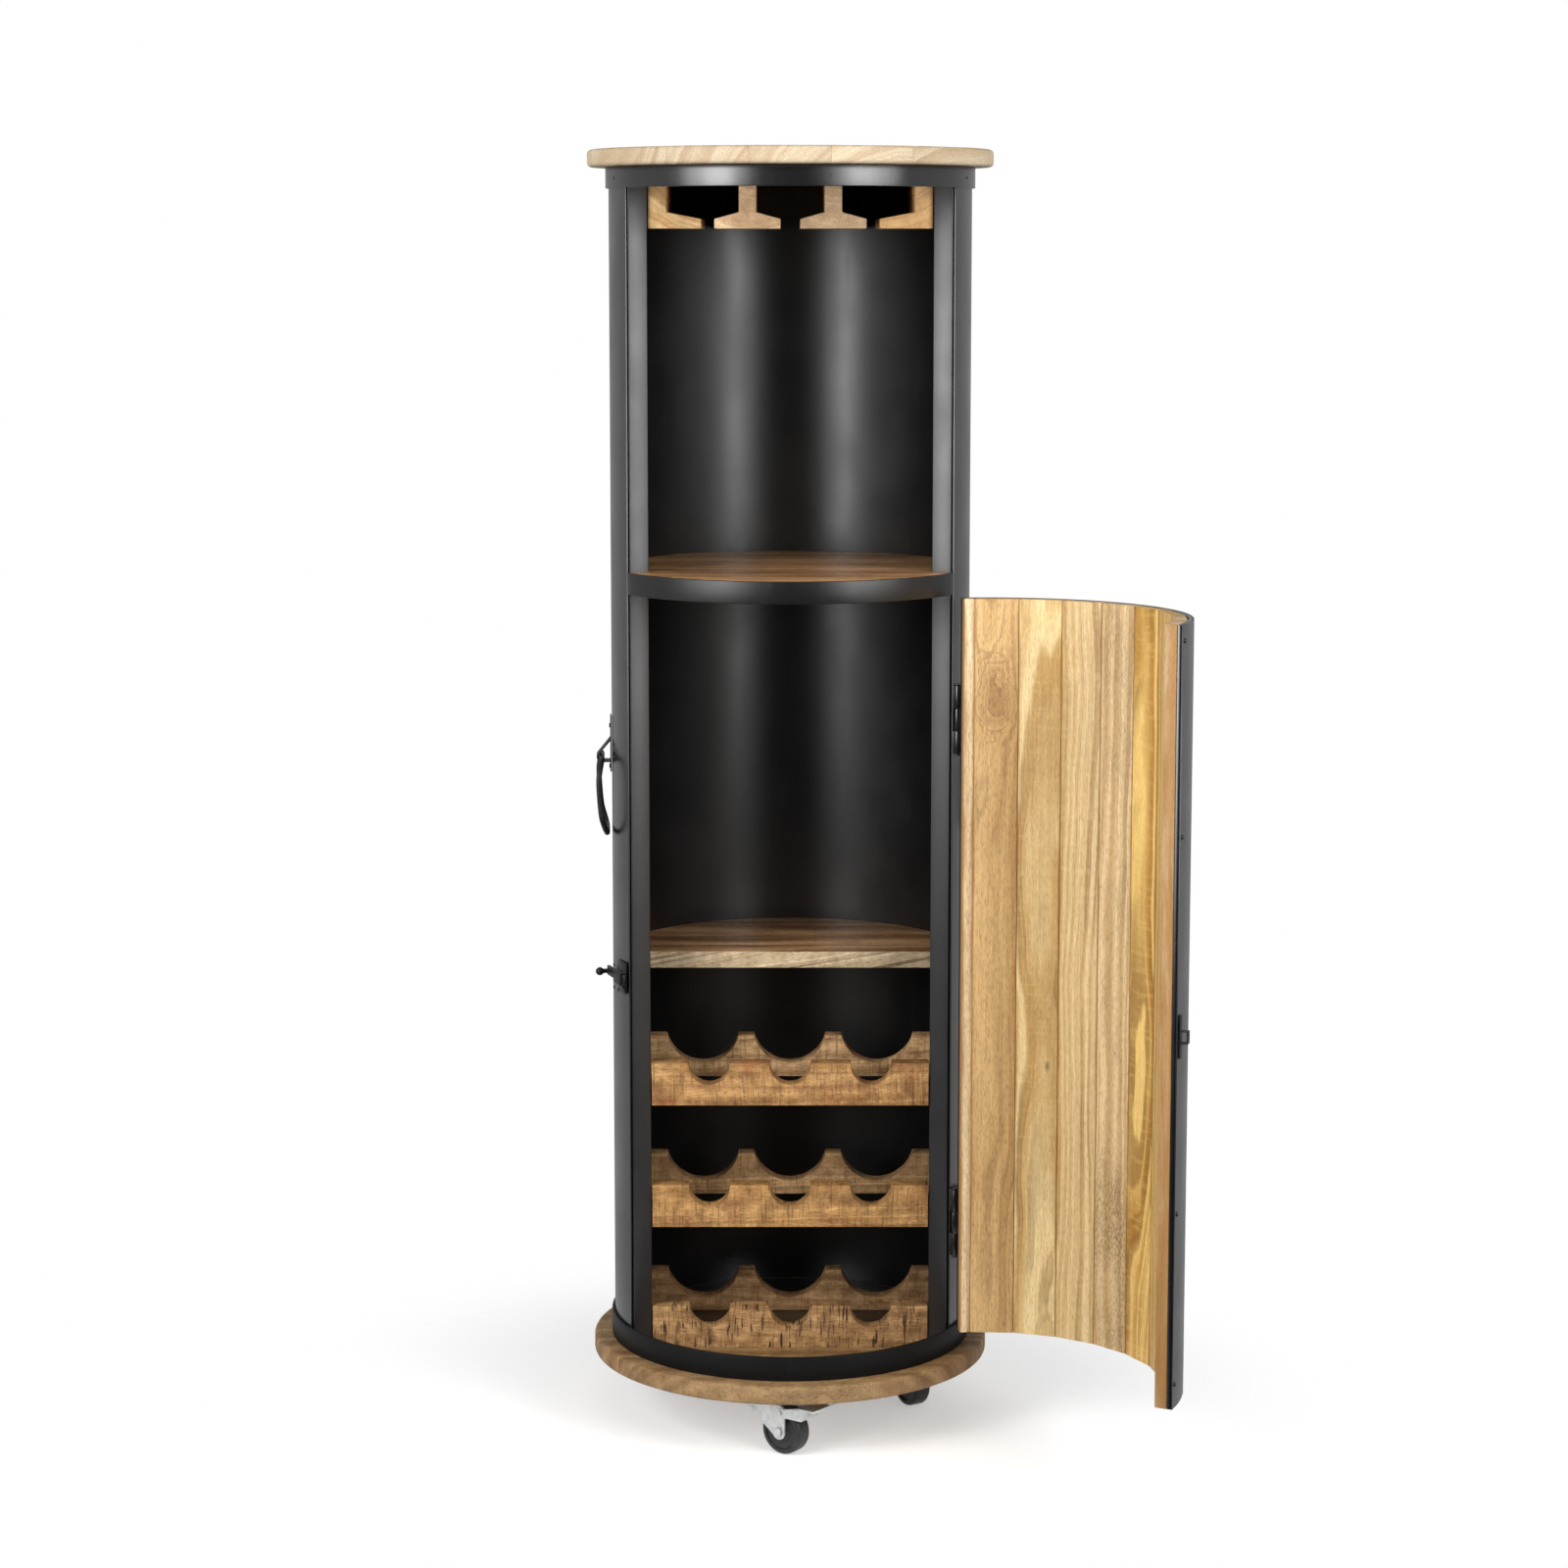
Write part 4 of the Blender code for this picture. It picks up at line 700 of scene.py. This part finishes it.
# Top board
# The round lid, glued and turned like the base but of paler planks that run front to back, sanded and
# oiled. Nails through the top hoop hold it on the drum.
top_low, top_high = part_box("top_board")
lid = round_board("fine_top_board", top_low, top_high)
lid_wood = wood("lid_mango", shade(223, 208, 181), shade(202, 180, 150), shade(128, 98, 66),
                drum_middle + Vector((0.24, 0, 1.11)), "Y", seed=0.052, rings=95, lines=0.2, pores=0.3,
                smudge=0.12, plank=0.083, gloss=0.48)
dress(lid, lid_wood, "mango_wood", "cabinet", "top_board")

STUD_RADIUS = 0.0026
STUD_HEIGHT = 0.0012
STUD_ROUND = 0.0008
STUD_SLOPE = 0.0007
STUD_DISH = 0.0004
STUD_SEAT = 0.4 * STUD_HEIGHT
NAIL_ANGLES = (-130, -70, -10.4, 11.8, 70, 130)
NAIL_DROP = 0.012
NAIL_SIZE = 0.6
stud_model = start(bpy.ops.mesh.primitive_cylinder_add, "stud_model", vertices=20, radius=STUD_RADIUS,
                   depth=STUD_HEIGHT)
pick(stud_model, "EDGE", lambda middle, way: middle.z > 0 and abs(way.z) < 0.5)
bpy.ops.mesh.bevel(offset=STUD_ROUND, segments=3, affect="EDGES")
pick(stud_model, "FACE", lambda middle, way: way.z > 0.99)
bpy.ops.mesh.inset(thickness=STUD_SLOPE)
bpy.ops.transform.translate(value=(0, 0, -STUD_DISH))
settle(stud_model)
bpy.ops.object.shade_smooth_by_angle(angle=SMOOTH_ANGLE)


def stud(name, place, way, finish, slot, body, size=1.0):
    """A screw, rivet or nail head that sits on a surface and looks along a direction."""
    turn = Vector((0, 0, 1)).rotation_difference(way).to_euler()
    head = placed_copy(stud_model, name, place + way * (STUD_SEAT * size), turn, size)
    dress(head, finish, slot, body)


def on_ring(centre, radius, angle, height):
    """A point at a front angle on a ring, and the direction outward there."""
    way = Vector((math.sin(angle), -math.cos(angle), 0))
    return Vector((centre.x, centre.y, height)) + radius * way, way


hoop_low, hoop_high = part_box("top_hoop")
hoop_radius = (hoop_high.x - hoop_low.x) / 2
for index, degrees in enumerate(NAIL_ANGLES):
    place, way = on_ring(drum_middle, hoop_radius, math.radians(degrees), top_low.z - NAIL_DROP)
    stud(f"top_hoop_nail_{index + 1}", place, way, bar_paint, "black_paint", "cabinet", NAIL_SIZE)


# Door
# Flat mango staves side by side on a rolled bar frame, with a rolled black sheet riveted on as the outer
# skin. Each stave comes from another plank, so no two have the same figure. A narrow strip starts the row.
door_joint = next(joint for joint in frame["joints"] if joint["name"] == "door_hinge")
hinge_pin = Vector(door_joint["pos_m"])
door_swing = -math.radians(door_joint["range_deg"][0])
hinge_angle = front_angle(hinge_pin - drum_middle)
door_centre = hinge_pin.xy + Matrix.Rotation(door_swing, 2) @ (drum_middle.xy - hinge_pin.xy)
door_half = 2 * hinge_angle - OPENING
skin_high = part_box("door_skin")[1]
skin_radius = skin_high.x - door_centre.x
STARTER = 0.012
FRAME_DEPTH = 0.0058
DOOR_EDGE = 0.0006
# Pale, deep and vein tone, then how strong the lines, curl, smudge and pores are
STAVE_TONES = [(shade(255, 232, 190), shade(232, 198, 154), shade(104, 68, 40), 0.50, 0.05, 0.15, 0.50),
               (shade(231, 194, 137), shade(204, 164, 108), shade(122, 76, 40), 0.40, 0.08, 0.08, 0.50),
               (shade(248, 222, 166), shade(204, 165, 101), shade(126, 88, 40), 0.60, 0.14, 0.05, 0.35),
               (shade(240, 213, 162), shade(209, 172, 113), shade(126, 88, 42), 0.55, 0.18, 0.05, 0.35),
               (shade(241, 212, 165), shade(212, 177, 125), shade(104, 76, 48), 0.30, 0.05, 0.95, 0.50),
               (shade(250, 213, 132), shade(190, 142, 66), shade(128, 82, 30), 0.70, 0.25, 0.08, 0.30),
               (shade(221, 187, 124), shade(188, 148, 86), shade(116, 78, 36), 0.50, 0.10, 0.25, 0.35),
               (shade(228, 198, 154), shade(198, 160, 114), shade(116, 82, 48), 0.40, 0.10, 0.10, 0.35),
               (shade(234, 207, 166), shade(206, 171, 126), shade(116, 82, 48), 0.40, 0.10, 0.15, 0.40)]
# Stave: drop from the top, shift to the side, size and darkness
KNOTS = {1: (0.105, 0.0, 0.052, 0.42), 2: (0.495, 0.012, 0.007, 0.95)}
# The stave that is soiled, and how far down
SMEARED = 4
SMEAR_DROP = 0.695


def cut_at(angle, keep_past):
    """Keeps what lies past, or short of, a front angle round the door's circle, of the copy at hand."""
    tangent = (math.cos(angle), math.sin(angle), 0)
    bpy.ops.object.mode_set(mode="EDIT")
    bpy.ops.mesh.select_all(action="SELECT")
    bpy.ops.mesh.bisect(plane_co=(*door_centre, 0), plane_no=tangent, use_fill=True, clear_inner=keep_past,
                        clear_outer=not keep_past)
    bpy.ops.mesh.select_all(action="SELECT")
    bpy.ops.mesh.remove_doubles(threshold=0.00005)
    bpy.ops.object.mode_set(mode="OBJECT")


starter_angle = door_swing + door_half - STARTER / (skin_radius - FRAME_DEPTH)
for index, (pale, deep, vein, lines, curl, smudge, pores) in enumerate(STAVE_TONES):
    node = f"door_stave_{max(index, 1)}"
    stave = copy_of(node, f"fine_{node}" if index else "fine_door_starter_strip")
    if index < 2:
        cut_at(starter_angle, keep_past=index == 0)
    corners = [corner.co for corner in stave.data.vertices]
    middle = sum(corners, Vector()) / len(corners)
    outward = (middle.xy - door_centre).normalized()
    along = Vector((-outward.y, outward.x, 0))
    half = max((corner - middle).dot(along) for corner in corners)
    heart = middle.xy + outward * (0.035 + 0.02 * (index % 3)) + along.xy * (0.05 - 0.03 * (index % 4))
    depth = min((corner - middle).xy.dot(outward) for corner in corners)
    face = middle + Vector((*outward, 0)) * depth
    knot = KNOTS.get(index)
    if knot:
        drop, off, size, dark = knot
        knot = (Vector((face.x, face.y, skin_high.z - drop)) - along * off, size, dark)
    smear = Vector((face.x, face.y, skin_high.z - SMEAR_DROP)) if index == SMEARED else None
    stave_wood = wood(f"stave_{index}_mango", pale, deep, vein, (*heart, 0), "Z", seed=2.1 * index + 0.4,
                      rings=165 + 20 * (index % 3), lines=lines, curl=curl, smudge=smudge, pores=0.7 * pores,
                      flecks=0.9, knot=knot, smear=smear, joint=(middle, along, half), gloss=0.42)
    replaced = [node] if index else []
    dress(soften(stave, DOOR_EDGE), stave_wood, "stave_wood", "door", *replaced)

frame_bar = copy_of("door_frame", "fine_door_frame")
dress(soften(frame_bar, DOOR_EDGE), bar_paint, "black_paint", "door", "door_frame")
skin = copy_of("door_skin", "fine_door_skin")
dress(soften(skin, SHEET_EDGE, 1), drum_paint, "black_paint", "door", "door_skin")

RIVET_INSET = 0.008
RIVET_DROPS = (0.016, 0.21, 0.40, 0.59, 0.765)
for word, edge in (("free", -1), ("hinge", 1)):
    angle = door_swing + edge * (door_half - RIVET_INSET / skin_radius)
    for index, drop in enumerate(RIVET_DROPS):
        place, way = on_ring(door_centre, skin_radius, angle, skin_high.z - drop)
        stud(f"door_rivet_{word}_{index + 1}", place, way, bar_paint, "black_paint", "door")


# Hinges, latch and handles
# Black iron: painted butt hinges with loose pins screwed to the outer faces, a slide bolt in its guide
# with a turned knob, the keeper on the door's edge, and a bent rod bail in a riveted strap on each flank.
def black_iron():
    """Forged iron under thin black paint, brown where the rod rubs."""
    finish, ink, shader, spot = blank("black_iron")
    scale = noise(spot, 240, 4, 0.6)
    rub = window(noise(spot, 70, 3, 0.6), 0.56, 0.74)
    colour = tint(shade(28, 27, 27), shade(66, 58, 50), rub * 0.45)
    bump = ink.node("Bump", sockets={"Strength": 0.3, "Distance": 0.0004, "Height": scale})
    ink.feed(shader, Base_Color=colour, Roughness=0.36 + scale * 0.2, Normal=bump)
    shader.inputs["Metallic"].default_value = 0.35
    return finish


def seat_on(node, way, spot):
    """Slides a point along a direction on to the node's broadest face that looks about that way."""
    faces = [face for face in frame["nodes"][node].data.polygons if face.normal.dot(way) > 0.98]
    broad = max(faces, key=lambda face: face.area)
    gap = (broad.center - spot).dot(broad.normal) / way.dot(broad.normal)
    return spot + way * gap, broad.normal.copy()


iron = black_iron()
IRON_EDGE = 0.0005
IRON_NODES = {"cabinet": ["latch_guide", "left_handle_strap", "right_handle_strap", "lower_hinge_frame_leaf",
                          "upper_hinge_frame_leaf", "lower_hinge_pin", "upper_hinge_pin"],
              "door": ["latch_keeper", "lower_hinge_door_leaf", "upper_hinge_door_leaf"],
              "bolt": ["latch_bolt"]}
for body, nodes in IRON_NODES.items():
    for node in nodes:
        part = copy_of(node, f"fine_{node}")
        dress(soften(part, IRON_EDGE), bar_paint if "hinge" in node else iron, "black_iron", body, node)

LEAF_SCREW_REACH = 0.016
LEAF_SCREW_STEP = 0.024
for level in ("lower", "upper"):
    for leaf, side, body, angle in (("frame", 1, "cabinet", hinge_angle),
                                    ("door", -1, "door", hinge_angle + door_swing)):
        node = f"{level}_hinge_{leaf}_leaf"
        leaf_low, leaf_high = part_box(node)
        across = Vector((math.cos(angle), math.sin(angle), 0))
        way = Vector((math.sin(angle), -math.cos(angle), 0))
        for index in (-1, 0, 1):
            height = (leaf_low.z + leaf_high.z) / 2 + index * LEAF_SCREW_STEP
            spot = Vector((*hinge_pin.xy, height)) + side * LEAF_SCREW_REACH * across
            place, facing = seat_on(node, way, spot)
            stud(f"{level}_hinge_{leaf}_screw_{index + 2}", place, facing, iron, "black_iron", body)

bolt_joint = next(joint for joint in frame["joints"] if joint["child"] == "bolt")
slide = Vector(bolt_joint["axis"]).normalized()
guide_low, guide_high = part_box("latch_guide")
guide_way = Vector((slide.y, -slide.x, 0))
if guide_way.dot(guide_low - drum_middle) < 0:
    guide_way.negate()
GUIDE_SCREW_REACH = 0.008
GUIDE_SCREW_RISE = 0.012
GUIDE_SCREW_SIZE = 0.8
for index, (reach, rise) in enumerate(((-1, -1), (-1, 1), (1, -1), (1, 1))):
    spot = (guide_low + guide_high) / 2 + slide * reach * GUIDE_SCREW_REACH
    spot.z += rise * GUIDE_SCREW_RISE
    place, facing = seat_on("latch_guide", guide_way, spot)
    stud(f"latch_guide_screw_{index + 1}", place, facing, iron, "black_iron", "cabinet", GUIDE_SCREW_SIZE)

STRAP_RIVET_RISE = 0.005
STRAP_RIVET_DROP = 0.011
for side in ("left", "right"):
    bail = copy_of(f"{side}_handle_bail", f"fine_{side}_handle_bail")
    shape(bail, "SUBSURF", levels=2, render_levels=2)
    bpy.ops.object.shade_smooth()
    dress(bail, iron, "black_iron", f"{side}_bail", f"{side}_handle_bail")
    strap_low, strap_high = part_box(f"{side}_handle_strap")
    hang = next(joint for joint in frame["joints"] if joint["child"] == f"{side}_bail")
    hang_axis = Vector(hang["axis"])
    way = Vector((hang_axis.y, -hang_axis.x, 0)).normalized()
    if way.dot(Vector(hang["pos_m"]) - drum_middle) < 0:
        way.negate()
    for index, height in enumerate((strap_low.z + STRAP_RIVET_RISE, strap_high.z - STRAP_RIVET_DROP)):
        spot = Vector((*Vector(hang["pos_m"]).xy, height))
        place, facing = seat_on(f"{side}_handle_strap", way, spot)
        stud(f"{side}_strap_rivet_{index + 1}", place, facing, iron, "black_iron", "cabinet")
bpy.data.objects.remove(stud_model, do_unlink=True)


# Stage
# A pale floor that fades into a white sweep, two tall banks of soft boxes in a dark room and one box
# overhead, and the camera at the photograph's height.
scene = bpy.context.scene
scene.view_settings.view_transform = "Standard"
FLOOR_RADIUS = 1.6
FLOOR_GLOW = 0.38
FLOOR_MIRRORED = 0.25
FADE_START = 0.28
FADE_END = 0.62
floor = start(bpy.ops.mesh.primitive_circle_add, "floor", vertices=96, radius=FLOOR_RADIUS, fill_type="NGON",
              location=(drum_middle.x, drum_middle.y, 0))
settle(floor)
floor_finish, ink, shader, spot = blank("pale_floor")
seen = ink.node("LightPath", out="Is Camera Ray")
mirrored = ink.node("LightPath", out="Is Glossy Ray")
shader.inputs["Base Color"].default_value = (0.82, 0.82, 0.82, 1)
shader.inputs["Roughness"].default_value = 0.9
shader.inputs["Specular IOR Level"].default_value = 0.1
shader.inputs["Emission Strength"].default_value = 1.0
glow = seen * FLOOR_GLOW + mirrored * FLOOR_MIRRORED
ink.feed(shader, Emission_Color=tint((0, 0, 0, 1), (1, 1, 1, 1), glow))
reach = vectors("DISTANCE", spot, (drum_middle.x, drum_middle.y, 0), "Value")
painted = Ink(ink.tree, shader.outputs[0])
clear = ink.node("BsdfTransparent", out="BSDF")
faded = ink.node("MixShader", sockets={0: window(reach, FADE_START, FADE_END), 1: painted, 2: clear})
ink.tree.links.new(faded.socket, ink.tree.nodes["Material Output"].inputs["Surface"])
floor.data.materials.append(floor_finish)


def soft_box(name, place, turn, width, height, glow):
    """A rectangular soft light, as bright per area as its glow says."""
    bpy.ops.object.light_add(type="AREA", location=place, rotation=turn)
    box = bpy.context.object
    box.name = name
    box.visible_camera = False
    box.data.shape = "RECTANGLE"
    box.data.size = width
    box.data.size_y = height
    box.data.energy = math.pi * width * height * glow


BOX_REACH = 2.6
# Degrees from the front at the inner and outer edge, and share of the glow
BOX_COLUMNS = ((24, 34, 0.30), (34, 52, 1.0), (52, 66, 0.5))
# Height of the lower and upper edge, and glow
BOX_ROWS = ((0.35, 0.75, 3.2), (0.75, 1.15, 7.5), (1.15, 2.45, 8.5))
BOX_SIDES = {"left": (-1, 1.1), "right": (1, 1.0)}
for word, (side, share) in BOX_SIDES.items():
    for column, (inner, outer, part) in enumerate(BOX_COLUMNS):
        turn = side * math.radians((inner + outer) / 2)
        width = 2 * BOX_REACH * math.tan(math.radians(outer - inner) / 2)
        for row, (low, high, glow) in enumerate(BOX_ROWS):
            place = on_ring(drum_middle, BOX_REACH, turn, (low + high) / 2)[0]
            soft_box(f"soft_box_{word}_{column + 1}_{row + 1}", place, (math.pi / 2, 0, turn), width,
                     high - low, glow * part * share)
TOP_BOX_PLACE = (drum_middle.x, drum_middle.y - 1.98, 2.9)
TOP_BOX_TILT = math.radians(46)
TOP_BOX_WIDTH = 1.6
TOP_BOX_DEPTH = 1.0
TOP_BOX_GLOW = 2.0
soft_box("soft_box_top", TOP_BOX_PLACE, (TOP_BOX_TILT, 0, 0), TOP_BOX_WIDTH, TOP_BOX_DEPTH, TOP_BOX_GLOW)

world = bpy.data.worlds.new("white_studio")
scene.world = world
world.use_nodes = True
sky = Ink(world.node_tree)
way = sky.node("TexCoord", out="Generated")
ahead = window(sky.node("SeparateXYZ", sockets={0: way}, out="Y"), -0.55, 0.05)
camera_ray = sky.node("LightPath", out="Is Camera Ray")
glossy_ray = sky.node("LightPath", out="Is Glossy Ray")
clear_ray = sky.node("LightPath", out="Is Transmission Ray")
AMBIENT = 0.25
DARK_ROOM = 0.03
SIDE_ROOM = 0.5
plain = 1 - camera_ray - glossy_ray - clear_ray
room = DARK_ROOM + ahead * (SIDE_ROOM - DARK_ROOM)
strength = camera_ray + clear_ray + glossy_ray * room + plain * AMBIENT
sky.feed(world.node_tree.nodes["Background"], Strength=strength)
world.node_tree.nodes["Background"].inputs["Color"].default_value = (1, 1, 1, 1)

CAMERA_PLACE = (-0.0995, -3.786, 1.273)
CAMERA_DIP = 7.42
CAMERA_LENS = 82.9
CAMERA_SHIFT = -0.045
bpy.ops.object.camera_add(location=CAMERA_PLACE, rotation=(math.radians(90 - CAMERA_DIP), 0, 0))
camera = bpy.context.object
camera.data.lens = CAMERA_LENS
camera.data.sensor_width = 36.0
camera.data.shift_y = CAMERA_SHIFT
scene.camera = camera
